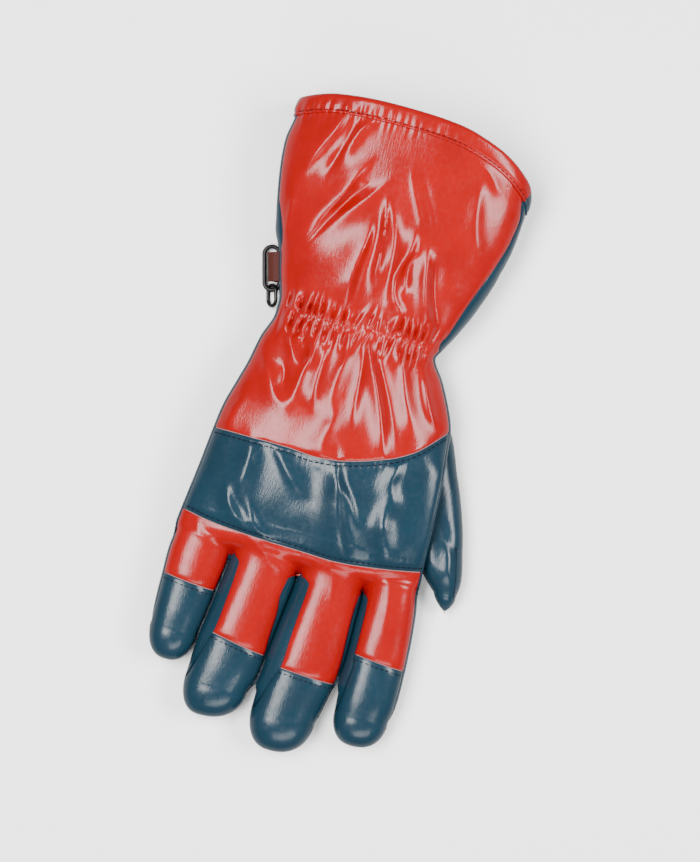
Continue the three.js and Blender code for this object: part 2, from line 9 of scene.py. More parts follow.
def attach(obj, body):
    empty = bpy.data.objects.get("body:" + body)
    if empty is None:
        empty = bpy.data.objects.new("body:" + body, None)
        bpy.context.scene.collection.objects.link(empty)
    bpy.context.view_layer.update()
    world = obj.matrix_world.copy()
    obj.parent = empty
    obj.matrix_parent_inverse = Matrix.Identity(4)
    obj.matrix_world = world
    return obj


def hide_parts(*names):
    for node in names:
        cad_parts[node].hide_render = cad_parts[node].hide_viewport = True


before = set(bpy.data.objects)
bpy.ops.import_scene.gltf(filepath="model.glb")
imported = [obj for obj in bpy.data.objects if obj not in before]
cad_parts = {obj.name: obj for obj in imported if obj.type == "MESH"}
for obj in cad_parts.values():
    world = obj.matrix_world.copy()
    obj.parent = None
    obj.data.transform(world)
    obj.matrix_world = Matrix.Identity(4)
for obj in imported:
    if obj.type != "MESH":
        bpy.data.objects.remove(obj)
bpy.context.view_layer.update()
bpy.ops.object.select_all(action="DESELECT")
print("frame loaded", len(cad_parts), "nodes")

mm = 0.001
centreShift = (-3.1, 4.6)          # from the middle that the glove's tables are measured from to the frame's

# How the glove is cut: edges and crown height along the hand and cuff, in millimetres
cut = {
    "midHeight": 0.43,             # height of the widest point in a section
    "sink": 0.8,                   # round undersides reach this far below the floor, and lie flat on it
    "overPower": 2.35,
    "underPower": 3.4,
    "elasticY": 50.0,
    "cloth": 2.0,                  # thickness of a panel with its backing
}


def rowsOf(columns, *rows):          # a small table with named columns
    return [dict(zip(columns.split(), row)) for row in rows]


bodyRows = rowsOf(
    "y left right crown",
    (176, -64.5, 65.0, 46), (150, -66.0, 65.0, 46), (138, -68.0, 64.4, 45), (125, -67.4, 63.8, 44),
    (110, -65.2, 62.3, 42), (95, -62.2, 58.8, 40), (89, -60.8, 57.2, 39.2), (80, -56.6, 54.0, 38),
    (70, -54.2, 50.0, 36.5), (57, -50.6, 43.6, 34.5), (50, -50.4, 39.6, 33.5), (45, -51.0, 37.6, 33.5),
    (35, -54.8, 44.0, 34.5), (20, -58.0, 51.6, 36), (10, -60.8, 55.0, 37), (-5, -65.0, 56.4, 38),
    (-20, -67.2, 57.4, 38), (-40, -69.6, 58.2, 36), (-60, -72.4, 58.8, 31.5), (-73, -74.0, 59.6, 26.8),
    (-84, -73.8, 60.2, 21.5), (-92, -73.8, 60.6, 16),
)
fingerRows = {
    "pinky": rowsOf(
        "y left right crown",
        (-74, -72.6, -42.4, 23), (-85, -74.2, -42.2, 22.5), (-100, -74.3, -44.2, 21.5),
        (-115, -74.2, -46.2, 20.5), (-126, -73.6, -48.0, 19),
    ),
    "ring": rowsOf(
        "y left right crown",
        (-74, -39.9, -5.9, 26.4), (-85, -40.7, -5.4, 25), (-100, -42.7, -7.2, 23.5),
        (-120, -45.6, -9.6, 22.5), (-138, -48.0, -11.4, 21.5), (-150, -48.8, -15.0, 20),
    ),
    "middle": rowsOf(
        "y left right crown",
        (-74, -3.1, 29.9, 26.6), (-85, -3.8, 30.6, 25.5), (-100, -5.6, 30.6, 24),
        (-120, -8.0, 30.4, 23), (-140, -9.9, 27.6, 22), (-157, -10.6, 24.0, 20.5),
    ),
    "index": rowsOf(
        "y left right crown",
        (-74, 32.6, 58.6, 25.6), (-85, 32.2, 61.0, 25), (-100, 32.0, 62.6, 23.5),
        (-120, 31.9, 63.5, 22.5), (-138, 31.9, 63.3, 21), (-148, 32.4, 61.4, 19.5),
    ),
}
fingerTips = {
    "pinky": {"x": -61.0, "y": -143.5, "z": 8.0},
    "ring": {"x": -36.0, "y": -167.5, "z": 8.5},
    "middle": {"x": 4.5, "y": -176.5, "z": 8.5},
    "index": {"x": 46.0, "y": -163.5, "z": 8.5},
}
fingerNames = list(fingerRows)
thumbRows = rowsOf(
    "y left right crown",
    (34, 12.0, 36.0, 22), (20, 18.0, 48.5, 21), (8, 24.0, 56.4, 20), (0, 28.0, 60.0, 19.5),
    (-10, 33.0, 63.8, 19), (-20, 37.5, 68.0, 19), (-30, 41.5, 71.6, 19), (-40, 45.5, 74.8, 19),
    (-50, 49.5, 77.2, 19), (-60, 55.0, 79.6, 18.5), (-67, 60.5, 80.4, 17), (-74, 67.5, 79.6, 14),
)
thumbTip = {"x": 75.5, "y": -82.5, "z": 6.5}
tuck = {                              # the palm's side lifts where the thumb lies under it
    "from": 22.0, "to": 50.0, "rise": 20.5,
    "startY": 6.0, "fullY": -14.0, "endFullY": -50.0, "endY": -86.0,
}

# Edges of the red back in plan, where they lie inside the palm's outline
backRows = rowsOf(
    "y left right",
    (180, -80, 80), (147, -80, 80), (141, -72, 62.9), (125, -70, 62.2), (112, -66.4, 60.0),
    (104, -63.0, 57.6), (96, -59.8, 54.8), (88, -57.2, 51.6), (81, -56.4, 48.8), (74, -59, 46.2),
    (66, -64, 43.6), (60, -66, 41.6), (50, -66, 38.6), (42, -66, 50), (20, -80, 80), (-200, -80, 80),
)
hemEdge = rowsOf(
    "x y",
    (-90, 154), (-64.5, 161), (-46, 165.5), (-15, 167), (19.6, 165), (36.8, 160.5), (48.8, 155.5),
    (57, 150), (62.4, 145), (64.8, 139), (90, 90),
)
strapTop = rowsOf(
    "x y",
    (-90, -17.5), (-65.8, -18.1), (-27, -18.6), (-9, -20), (13.7, -15.9), (37.1, -6), (54.6, 10), (62, 18),
    (90, 40),
)
strapBottom = rowsOf(
    "x y",
    (-90, -61), (-70, -64), (-56, -66.5), (-36.6, -68.4), (-6.3, -69.9), (13.7, -70.7), (38, -68.3),
    (58.9, -64.9), (90, -60),
)
hemDepth = 9.0
capSeams = {
    "pinky": (-98.6, -101.9), "ring": (-121.5, -128.4), "middle": (-131.1, -134.0), "index": (-114.9, -118.0),
}

# The slits: where the back's edges meet, and how far its edges lie in from the sides of the two fingers
slits = rowsOf(
    "name before after webX webY endY pouch",
    ("fork_pinky_ring", "pinky", "ring", -39.6, -80.8, -150.0, 4.0),
    ("fork_ring_middle", "ring", "middle", -3.0, -82.6, -157.0, 8.0),
    ("fork_middle_index", "middle", "index", 31.2, -83.2, -154.0, 1.5),
)
rightSeams = {                        # how far the back's edge lies in from the right side of a finger
    "pinky": rowsOf("y in", (-126, 0), (-80, 0)),
    "ring": rowsOf("y in", (-150, 0), (-130, 0), (-115, 0.8), (-104, 1.6), (-95, 3.4), (-80, 3.0)),
    "middle": rowsOf("y in", (-157, 0), (-130, 0), (-110, 1.0), (-80, 1.0)),
}
leftSeams = {                         # and from the left side
    "ring": rowsOf("y in", (-150, 0), (-140, 2.2), (-130, 4.2), (-121, 5.8), (-100, 5.2), (-80, 4.4)),
    "middle": rowsOf(
        "y in", (-157, 0), (-150, 2.6), (-140, 5.2), (-131, 7.8), (-115, 7.2), (-100, 6.6), (-80, 6.2)),
    "index": rowsOf(
        "y in", (-148, 0), (-140, 1.6), (-130, 2.6), (-122, 3.4), (-116, 2.7), (-105, 2.6), (-80, 2.2)),
}
forkFoot = (4.5, 8.0)


def lineThrough(rows, column, key="y"):       # smooth curve through one column, read at any place
    rows = sorted(rows, key=lambda row: row[key])
    places = np.array([row[key] for row in rows], float)
    values = np.array([row[column] for row in rows], float)
    slopes = np.empty_like(values)
    slopes[1:-1] = (values[2:] - values[:-2]) / (places[2:] - places[:-2])
    slopes[0] = (values[1] - values[0]) / (places[1] - places[0])
    slopes[-1] = (values[-1] - values[-2]) / (places[-1] - places[-2])
    fine = np.linspace(places[0], places[-1], 1200)
    i = np.clip(np.searchsorted(places, fine, side="right") - 1, 0, len(places) - 2)
    span = places[i + 1] - places[i]
    t = (fine - places[i]) / span
    value = (
        (2 * t**3 - 3 * t**2 + 1) * values[i] + (t**3 - 2 * t**2 + t) * span * slopes[i]
        + (3 * t**2 - 2 * t**3) * values[i + 1] + (t**3 - t**2) * span * slopes[i + 1]
    )
    return lambda place: np.interp(place, fine, value)


def smooth(value, low, high):
    t = np.clip((value - low) / (high - low), 0, 1)
    return t * t * (3 - 2 * t)


def smoothMax(a, b, blend):
    return 0.5 * (a + b + np.sqrt((a - b) ** 2 + blend**2))


body = {column: lineThrough(bodyRows, column) for column in ("left", "right", "crown")}
back = {column: lineThrough(backRows, column) for column in ("left", "right")}
finger = {
    name: {column: lineThrough(rows, column) for column in ("left", "right", "crown")}
    for name, rows in fingerRows.items()
}
thumb = {column: lineThrough(thumbRows, column) for column in ("left", "right", "crown")}
rightSeam = {name: lineThrough(rows, "in") for name, rows in rightSeams.items()}
leftSeam = {name: lineThrough(rows, "in") for name, rows in leftSeams.items()}
hemLine = lineThrough(hemEdge, "y", "x")
strapTopLine = lineThrough(strapTop, "y", "x")
strapBottomLine = lineThrough(strapBottom, "y", "x")


def tuckRise(x, y):
    across = smooth(x, tuck["from"], tuck["to"])
    along = np.where(
        y > tuck["endFullY"],
        1 - smooth(y, tuck["fullY"], tuck["startY"]),
        smooth(y, tuck["endY"], tuck["endFullY"]),
    )
    return tuck["rise"] * across * along


def dome(place, power):
    return np.maximum(1 - np.abs(place) ** power, 0) ** (1 / power)


def overHeight(place, foot, crown):
    middle = foot + cut["midHeight"] * (crown - foot)
    return middle + (crown - middle) * dome(place, cut["overPower"])


def underHeight(place, foot, crown):
    middle = foot + cut["midHeight"] * (crown - foot)
    return middle - (middle - foot) * dome(place, cut["underPower"])


# Folds of the cloth, from their upper to their lower end: height in millimetres, and reach to each side
folds = rowsOf(
    "x0 y0 x1 y1 left right height",
    (-40, 157, -51, 126, 8, 3, 2.4), (-34, 155, -41, 122, 3, 3, -1.4), (-26, 157, -36, 134, 4, 4, 1.8),
    (-23, 130, -46, 87, 13, 3, 3.4), (-19, 124, -43, 90, 3, 3, -2.6), (-14, 124, -40, 86, 3, 10, 2.0),
    (-14, 100, -15, 62, 19, 4, 4.6), (-9, 120, -2, 70, 3, 2.5, 2.4), (-3, 113, 5, 69, 3, 4, -1.6),
    (10, 102, 5, 76, 7, 4, 2.6), (6, 78, 13, 63, 5, 3, 2.0), (13, 92, 11, 76, 3, 3, -2.4),
    (18, 98, 31, 56, 5, 3, 2.6), (25, 95, 34, 60, 3, 7, -1.8), (1, 138, 14, 102, 2, 2, 0.5),
    (8, 136, 20, 104, 2, 3, -0.4), (35, 146, 48, 138, 4, 4, 0.9), (38, 134, 44, 98, 9, 6, 2.0),
    (-58, 112, -53, 75, 3, 3, 1.2),
    (-46, 44, -30, 24, 3, 3, 1.8), (-24, 44, -28, 24, 3, 3, 1.8), (-36, 42, -31, 30, 5, 5, -1.8),
    (-52, 24, -34, 2, 7, 4, 2.0), (-24, 34, -33, 2, 4, 6, 1.9), (-40, 22, -35, 8, 4, 4, -1.6),
    (-20, 40, -18, 4, 4, 4, -1.8), (-7, 40, -10, 8, 5, 6, 1.8), (-2, 42, 5, 0, 4, 3, -1.6),
    (-8, 4, -8, -18, 8, 8, 2.0), (2, 46, 23, -12, 6, 2.5, 2.5), (8, 44, 29, -8, 3, 6, -1.5),
    (18, 46, 36, 4, 4, 5, 1.5), (30, 38, 48, 10, 3, 4, 1.7), (-57, 0, -60, -16, 4, 5, 1.2),
    (-46, -22, -43, -46, 10, 7, 2.7), (-33, -22, -13, -38, 4, 6, 1.4), (-50, -50, -38, -66, 7, 4, 1.9),
    (-38, -54, -24, -70, 6, 4, 1.8), (-1, -18, 18, -70, 12, 5, 3.8), (3, -28, 19, -50, 5, 3, 1.6),
    (32, -38, 38, -66, 9, 9, 3.8), (31, -17, 33, -32, 10, 6, 2.5),
    (-33, -72, -8, -83, 2.5, 4, 1.2), (10, -72, 19, -96, 3, 2, 1.0), (41, -72, 48, -106, 2.5, 2.5, 0.9),
    (-62, -68, -56, -80, 3, 3, 0.9),
    (61, -40, 70, -46, 6, 6, -0.8), (67, -50, 75, -66, 5, 4, 1.2),
)
foldShape = {
    "scale": 1.12, "sharpness": 1.6, "steepness": 1.4, "bend": 1.3, "turns": 4,
    "endReach": 1.4, "endMost": 12, "fadeShare": 0.35,
}
ruffles = {
    "pitch": 5.3, "height": 1.9, "reach": 4.8, "fine": 0.3, "fineReach": 6, "waist": 0.35, "waistWidth": 1.2,
    "lineWander": 2.8, "sideWander": 2.4,
}
pucker = {"pitch": 3.4, "height": 0.42, "reach": 2.6, "hem": 1.6, "strap": 0.25, "wander": 1.6}
stitchGroove = {"depth": 0.3, "width": 0.8}
hemStitchLine = -9.0                  # how far each line of stitches lies from its edge
strapSeams = (("top", strapTopLine, -2.6), ("bottom", strapBottomLine, 2.2))


def foldHeight(x, y):
    height = np.zeros_like(x)
    for fold in folds:
        along = np.array([fold["x1"] - fold["x0"], fold["y1"] - fold["y0"]], float)
        reach = np.linalg.norm(along)
        along /= reach
        s = (x - fold["x0"]) * along[0] + (y - fold["y0"]) * along[1]
        d = (y - fold["y0"]) * along[0] - (x - fold["x0"]) * along[1]
        d += foldShape["bend"] * np.sin(s / reach * foldShape["turns"] + fold["x0"])
        width = np.where(d > 0, fold["right"], fold["left"]) * (0.75 + 0.35 * smooth(s, 0, reach))
        end = min(max(fold["left"], fold["right"]) * foldShape["endReach"], foldShape["endMost"])
        full = foldShape["fadeShare"] * reach
        fade = smooth(s, -end, full) * smooth(reach - s, -end, full)
        across = np.exp(-foldShape["steepness"] * (np.abs(d) / width) ** foldShape["sharpness"])
        height += foldShape["scale"] * fold["height"] * fade * across
    return height


def creased(phase):                   # rounded ruffles with sharp creases between them
    return 2 * np.abs(np.cos(phase / 2)) ** 0.8 - 1.15


def ruffleHeight(x, y):
    dy = y - cut["elasticY"] - ruffles["lineWander"] * softNoise(x, x * 0, 8, 21)
    fan = 0.14 * dy * softNoise(x, y * 0, 8, 25) * 2
    wander = ruffles["sideWander"] * softNoise(x, y * 0.35, 11, 23) + fan
    phase = 2 * np.pi * (x + wander) / ruffles["pitch"]
    size = 0.85 + 0.6 * softNoise(x, x * 0, 9, 27)
    above = np.exp(-(((dy - ruffles["reach"]) / ruffles["reach"]) ** 2))
    below = np.exp(-(((dy + ruffles["reach"] * 1.1) / (ruffles["reach"] * 1.3)) ** 2))
    fine = ruffles["fine"] * creased(phase * 1.9 + 1.1) * np.exp(-((dy / ruffles["fineReach"]) ** 2))
    height = ruffles["height"] * size * (above * creased(phase) + 0.8 * below * creased(phase + 2.3)) + fine
    return height - ruffles["waist"] * np.exp(-((dy / ruffles["waistWidth"]) ** 2))


def puckerHeight(x, y):               # small gathers beside the stitch lines, and the groove of the stitches
    height = np.zeros_like(x)
    wander = pucker["wander"] * softNoise(x, y * 0, 6, 31)
    gathers = np.cos(2 * np.pi * (x + wander) / pucker["pitch"]) * (0.6 + 0.7 * softNoise(x, y * 0, 12, 33))
    below = hemLine(x) + hemStitchLine - 1.6 - y
    height += pucker["hem"] * gathers * np.exp(-np.abs(below) / pucker["reach"]) * smooth(-x, -10, 20)
    for _, line, move in strapSeams:
        away = y - line(x) - move
        height += pucker["strap"] * gathers * np.exp(-np.abs(away) / pucker["reach"])
        height -= stitchGroove["depth"] / pucker["height"] * np.exp(-((away / stitchGroove["width"]) ** 2))
    return pucker["height"] * height


def softNoise(x, y, size, seed):      # smooth random unevenness between -1 and 1
    lattice = np.random.RandomState(seed).rand(64, 64) * 2 - 1
    u, v = x / size + 23.3, y / size + 27.7
    i, j = np.floor(u).astype(int), np.floor(v).astype(int)
    s, t = smooth(u - i, 0, 1), smooth(v - j, 0, 1)
    low = lattice[i % 64, j % 64] * (1 - s) + lattice[(i + 1) % 64, j % 64] * s
    high = lattice[i % 64, (j + 1) % 64] * (1 - s) + lattice[(i + 1) % 64, (j + 1) % 64] * s
    return low * (1 - t) + high * t


def unevenness(x, y):
    return 0.5 * softNoise(x, y, 21, 3) + 0.12 * softNoise(x, y, 9, 5)


def bodyCrown(y):                     # the hand's crown, dropping away towards and past the webs
    return body["crown"](y) - 14 * smooth(-y, 68, 86) ** 2 - 9 * np.maximum(0, (-84 - y) / 5) ** 2


def fingerPlace(name, x, y):          # place across a finger, whose width ends at its tip
    left, right = finger[name]["left"](y), finger[name]["right"](y)
    last, tip = fingerRows[name][-1]["y"], fingerTips[name]["y"]
    ended = np.clip((last - y) / (last - tip), 0, 1)
    return (x - (left + right) / 2) / ((right - left) / 2 * np.maximum(1 - ended**2, 0.001) ** 0.4)


knuckles = {"y": -74, "spread": 8, "backSlope": 0.9, "palmSlope": 0.8, "backBlend": 2.4, "palmBlend": 1.2}


def fingerBump(name, x, y, foot, side):      # a finger's outer face alone, on the back (1) or the palm (-1)
    at = np.clip(fingerPlace(name, x, y), -3, 3)
    crown = finger[name]["crown"](y)
    middle = foot + cut["midHeight"] * (crown - foot)
    height = (overHeight if side > 0 else underHeight)(np.clip(at, -1, 1), foot, crown)
    bump = np.where(np.abs(at) < 1, height, middle - side * knuckles["spread"] * (np.abs(at) - 1))
    slope = knuckles["backSlope"] if side > 0 else knuckles["palmSlope"]
    return np.where(y > knuckles["y"], bump - side * (y - knuckles["y"]) * slope, bump)


def bodyPlace(x, y):                  # place across the hand or cuff, from -1 to 1
    left, right = body["left"](y), body["right"](y)
    return (x - (left + right) / 2) / ((right - left) / 2)


def backHeight(x, y):                 # outer face of the back over a place in plan
    foot = -cut["sink"] + tuckRise(x, y)
    place = bodyPlace(x, y)
    height = overHeight(np.clip(place, -1, 1), foot, bodyCrown(y))
    fade = smooth(1 - np.abs(place), 0.02, 0.2)
    height = height + (foldHeight(x, y) + ruffleHeight(x, y) + unevenness(x, y)) * fade + puckerHeight(x, y)
    near = y < -60
    for name in fingerNames:
        bump = fingerBump(name, x, y, foot, 1) + 0.3 * foldHeight(x, y)
        height = np.where(near, smoothMax(height, bump, knuckles["backBlend"]), height)
    return height


def underside(x, y):                  # outer face of the palm over a place in plan
    foot = -cut["sink"] + tuckRise(x, y)
    height = underHeight(np.clip(bodyPlace(x, y), -1, 1), foot, body["crown"](y))
    height = height + 9 * (np.maximum(0, -79.5 - y) / 5) ** 2
    near = y < -70
    for name in fingerNames:
        bump = fingerBump(name, x, y, foot, -1)
        height = np.where(near, -smoothMax(-height, -bump, knuckles["palmBlend"]), height)
    return np.maximum(height, 0)


# Edges of the red back along each finger, which the caps and forks share
webReach = 3.6                        # length of a slit's rounded end
webPleat = 0.8                        # depth of the gathers in it


def slitOpen(slit, y):                # 0 at the web, 1 where the slit is fully open
    return np.sin(np.clip((slit["webY"] - y) / webReach, 0, 1) * np.pi / 2) ** 0.75


def seamRight(slit, y):               # right edge of the finger before a slit
    seam = finger[slit["before"]]["right"](y) - rightSeam[slit["before"]](y)
    return slit["webX"] + (seam - slit["webX"]) * slitOpen(slit, y)


def seamLeft(slit, y):                # left seam of the finger after a slit
    seam = finger[slit["after"]]["left"](y) + leftSeam[slit["after"]](y)
    return slit["webX"] + (seam - slit["webX"]) * slitOpen(slit, y)


def outerEdge(side, y):               # outline of the hand and of its outer finger
    name = "pinky" if side == "left" else "index"
    mix = smooth(y, -82, -70)
    return body[side](y) * mix + finger[name][side](y) * (1 - mix)


seamInset = 0.7                       # the side seams lie this far in from the outline


def outerSeam(side, y):               # side seam of the outer fingers, which runs out to the edge at the tip
    name = "pinky" if side == "left" else "index"
    last = fingerRows[name][-1]["y"]
    inset = seamInset * smooth(y, last, last + 14)
    return outerEdge(side, y) + (inset if side == "left" else -inset)


def fingerEdges(name, y):
    at = fingerNames.index(name)
    left = outerSeam("left", y) if at == 0 else seamLeft(slits[at - 1], y)
    right = outerSeam("right", y) if at == 3 else seamRight(slits[at], y)
    return left, right


def capSeamY(name, x):                # the cap's seam across a finger
    leftY, rightY = capSeams[name]
    middleY = (leftY + rightY) / 2
    left, right = finger[name]["left"](middleY), finger[name]["right"](middleY)
    return leftY + (rightY - leftY) * (x - left) / (right - left)


# Grids of points become meshes
def toFrame(points):                  # glove's millimetres to the frame's metres
    out = np.asarray(points, float).copy()
    out[..., 0] += centreShift[0]
    out[..., 1] += centreShift[1]
    return out * mm


def gridMesh(name, points, up=None, closeAround=False):      # rows x columns x 3, in glove millimetres
    rows, columns = points.shape[:2]
    placed = toFrame(points).reshape(-1, 3)
    faces = []
    last = columns if closeAround else columns - 1
    for i in range(rows - 1):
        for j in range(last):
            k = (j + 1) % columns
            faces.append((i * columns + j, i * columns + k, (i + 1) * columns + k, (i + 1) * columns + j))
    mesh = bpy.data.meshes.new(name)
    mesh.from_pydata(placed.tolist(), [], faces)
    lengths = np.cumsum(np.linalg.norm(np.diff(points, axis=0, prepend=points[:1]), axis=2), axis=0)
    widths = np.cumsum(np.linalg.norm(np.diff(points, axis=1, prepend=points[:, :1]), axis=2), axis=1)
    layer = mesh.uv_layers.new(name="cloth")
    loops = np.empty(len(mesh.loops), dtype=np.int32)
    mesh.loops.foreach_get("vertex_index", loops)
    uv = np.stack([widths.reshape(-1)[loops], lengths.reshape(-1)[loops]], axis=1) * mm
    layer.data.foreach_set("uv", uv.astype(np.float32).reshape(-1))
    piece = bpy.data.objects.new(name, mesh)
    bpy.context.collection.objects.link(piece)
    if up is not None:
        normal = np.zeros(3)
        for polygon in mesh.polygons:
            normal += np.array(polygon.normal) * polygon.area
        if np.dot(normal, up) < 0:
            mesh.flip_normals()
    return piece


def pickOnly(piece):
    bpy.ops.object.select_all(action="DESELECT")
    piece.select_set(True)
    bpy.context.view_layer.objects.active = piece


def applyModifier(piece, kind, **settings):
    pickOnly(piece)
    modifier = piece.modifiers.new(kind.title(), kind)
    for key, value in settings.items():
        setattr(modifier, key, value)
    bpy.ops.object.modifier_apply(modifier=modifier.name)


smoothAngle = math.radians(60)
mergeReach = 0.00002                  # points closer than this become one


def mergeDoubles(piece, turnOutward=False):
    pickOnly(piece)
    bpy.ops.object.mode_set(mode="EDIT")
    bpy.ops.mesh.select_all(action="SELECT")
    bpy.ops.mesh.remove_doubles(threshold=mergeReach)
    if turnOutward:
        bpy.ops.mesh.normals_make_consistent(inside=False)
    bpy.ops.mesh.delete_loose()
    bpy.ops.object.mode_set(mode="OBJECT")


def joined(name, parts):
    pickOnly(parts[0])
    for part in parts[1:]:
        part.select_set(True)
    bpy.ops.object.join()
    parts[0].name = name
    parts[0].data.name = name
    return parts[0]


def finished(piece, node):
    pickOnly(piece)
    bpy.ops.object.shade_smooth_by_angle(angle=smoothAngle)
    if node:
        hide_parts(node)
    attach(piece, "root")
    return piece


def plainPiece(piece, material, node=None):
    piece.data.materials.clear()
    piece.data.materials.append(material)
    return finished(piece, node)


def clothPiece(piece, node, material, thickness=cut["cloth"], linedAbove=-200):
    piece.data.materials.clear()
    piece.data.materials.append(material)
    piece.data.materials.append(lining)
    mergeDoubles(piece)
    applyModifier(
        piece, "SOLIDIFY", thickness=thickness * mm, offset=-1, use_rim=True, use_even_offset=False,
        material_offset=1, material_offset_rim=0,
    )
    for polygon in piece.data.polygons:            # no fleece shows between the fingers
        if polygon.center.y < (linedAbove + centreShift[1]) * mm:
            polygon.material_index = 0
    return finished(piece, node)


edgeRoll = {"depth": 0.85, "reach": 1.5}      # sewn edges sink into their seam


def gridNormals(points):
    du = np.gradient(points, axis=1)
    dv = np.gradient(points, axis=0)
    normal = np.cross(du, dv)
    length = np.linalg.norm(normal, axis=2, keepdims=True)
    return normal / np.maximum(length, 1e-9)


def edgeDistances(points):            # arc distance of each point from its row's two ends
    steps = np.linalg.norm(np.diff(points, axis=1, prepend=points[:, :1]), axis=2)
    fromLeft = np.cumsum(steps, axis=1)
    return fromLeft, fromLeft[:, -1:] - fromLeft


def rollEdges(points, distance, outward):      # sinks a grid's sewn edges towards the inside of the glove
    normal = gridNormals(points)
    facing = np.sign(np.sum(normal * outward, axis=2, keepdims=True))
    facing[facing == 0] = 1
    drop = edgeRoll["depth"] * np.exp(-np.maximum(distance, 0) / edgeRoll["reach"])
    return points - normal * facing * drop[..., None]


def between(a, b, t):
    return a + (b - a) * t


def acrossPlaces(count, startAngle=-90, endAngle=90):      # 0 to 1, closer together where an edge turns over
    angle = np.radians(np.linspace(startAngle, endAngle, count))
    s = np.sin(angle)
    return (s - s[0]) / (s[-1] - s[0])


up = np.array([0.0, 0.0, 1.0])
webLine = lineThrough(
    rowsOf("x y", (-90, -79), (-39, -80.8), (-2.4, -82.6), (31.4, -83.2), (90, -84)), "y", "x")


# Red back of the hand and cuff
def seamPlace(side, y):               # where the back's side seam runs, as a share of the half width
    left, right = outerEdge("left", y), outerEdge("right", y)
    place = (back[side](y) - (left + right) / 2) / ((right - left) / 2)
    limit = 1 - seamInset / ((right - left) / 2)
    return np.clip(place, -limit, limit)


def bandPoints(lowLine, highLine, rows, columns):
    v = np.linspace(0, 1, rows)[:, None] * np.ones((1, columns))
    share = np.linspace(0, 1, columns)[None, :] * np.ones((rows, 1))
    y = between(lowLine(0), highLine(0), v)
    for _ in range(24):
        startAngle = np.arcsin(seamPlace("left", y))
        endAngle = np.arcsin(seamPlace("right", y))
        place = np.sin(between(startAngle, endAngle, share))
        left, right = outerEdge("left", y), outerEdge("right", y)
        x = (left + right) / 2 + place * (right - left) / 2
        y = between(y, between(lowLine(x), highLine(x), v), 0.6)
    points = np.stack([x, y, backHeight(x, y)], axis=2)
    return points, y - lowLine(x), highLine(x) - y


def backPiece(node, lowLine, highLine, rows, columns, material):
    points, low, high = bandPoints(lowLine, highLine, rows, columns)
    fromLeft, fromRight = edgeDistances(points)
    distance = np.minimum(np.minimum(low, high), np.minimum(fromLeft, fromRight))
    piece = gridMesh(node + "_cloth", rollEdges(points, distance, up), up)
    return clothPiece(piece, node, material)


# Fingers of the back: one wide strip below the strap, which divides at the slits
def fingerColumns(name):
    count = {"pinky": 34, "ring": 40, "middle": 40, "index": 34}[name]
    start = -90 if name == "pinky" else -48
    return acrossPlaces(count, start, 90)


def slitDistance(x, y):
    return np.min([np.hypot(x - slit["webX"], np.minimum(slit["webY"] - y, 0)) for slit in slits], axis=0)


def fingerStrip(name, columns, startLine, endLine, rows, edges):
    share = columns[None, :] * np.ones((rows, 1))
    v = np.linspace(0, 1, rows)[:, None] * np.ones_like(share)
    y = between(startLine(0), endLine(0), v)
    for _ in range(8):
        left, right = edges(name, y)
        x = between(left, right, share)
        y = between(startLine(x), endLine(x), v)
    return np.stack([x, y, backHeight(x, y)], axis=2)


def knuckleEdges(name, y):            # above the webs, neighbouring fingers share straight borders
    at = fingerNames.index(name)
    left = outerSeam("left", y) if at == 0 else slits[at - 1]["webX"] + 0 * y
    right = outerSeam("right", y) if at == 3 else slits[at]["webX"] + 0 * y
    return left, right


def fingerBacks():
    parts = []
    for name in fingerNames:
        at = fingerNames.index(name)
        top = fingerStrip(name, fingerColumns(name), strapBottomLine, webLine, 16, knuckleEdges)
        x, y = top[..., 0], top[..., 1]
        distance = np.minimum(strapBottomLine(x) - y, slitDistance(x, y))
        fromLeft, fromRight = edgeDistances(top)
        if at == 0:
            distance = np.minimum(distance, fromLeft)
        if at == 3:
            distance = np.minimum(distance, fromRight)
        parts.append(gridMesh("knuckles_" + name, rollEdges(top, distance, up), up))
        strip = fingerStrip(name, fingerColumns(name), webLine, lambda x: capSeamY(name, x), 44, fingerEdges)
        distance = np.minimum(*edgeDistances(strip))
        distance = np.minimum(distance, strip[..., 1] - capSeamY(name, strip[..., 0]))
        rolled = rollEdges(strip, distance, up)
        sunk = strip - up * edgeRoll["depth"] * np.exp(-distance / edgeRoll["reach"])[..., None]
        share = np.linspace(0, 1, strip.shape[1])
        if at == 3:
            share = 1 - share
        inner = smooth(share, 0.3, 0.6) if at in (0, 3) else share * 0 + 1
        besideWeb = smooth(strip[..., 1], -94, -87)
        rolled = between(rolled, sunk, (besideWeb * inner)[..., None])
        parts.append(gridMesh("finger_" + name, rolled, up))
    return joined("finger_backs_cloth", parts)


# Round finger ends: rings that close on the tip
def tipRings(name, side, shares, rings):
    last = fingerRows[name][-1]
    tip = fingerTips[name]
    crown = last["crown"]
    foot = -cut["sink"]
    middleX = (last["left"] + last["right"]) / 2
    half = (last["right"] - last["left"]) / 2
    place = shares * 2 - 1
    height = overHeight(place, foot, crown) if side > 0 else underHeight(place, foot, crown)
    rows = []
    for turn in np.linspace(0, math.pi / 2, rings):
        scale = max(math.cos(turn), 0) ** 0.8
        x = between(middleX, tip["x"], 1 - math.cos(turn)) + place * half * scale
        y = last["y"] + (tip["y"] - last["y"]) * math.sin(turn)
        z = np.maximum(between(tip["z"], height, scale), 0)
        rows.append(np.stack([x, np.full_like(x, y), z], axis=1))
    return np.array(rows)


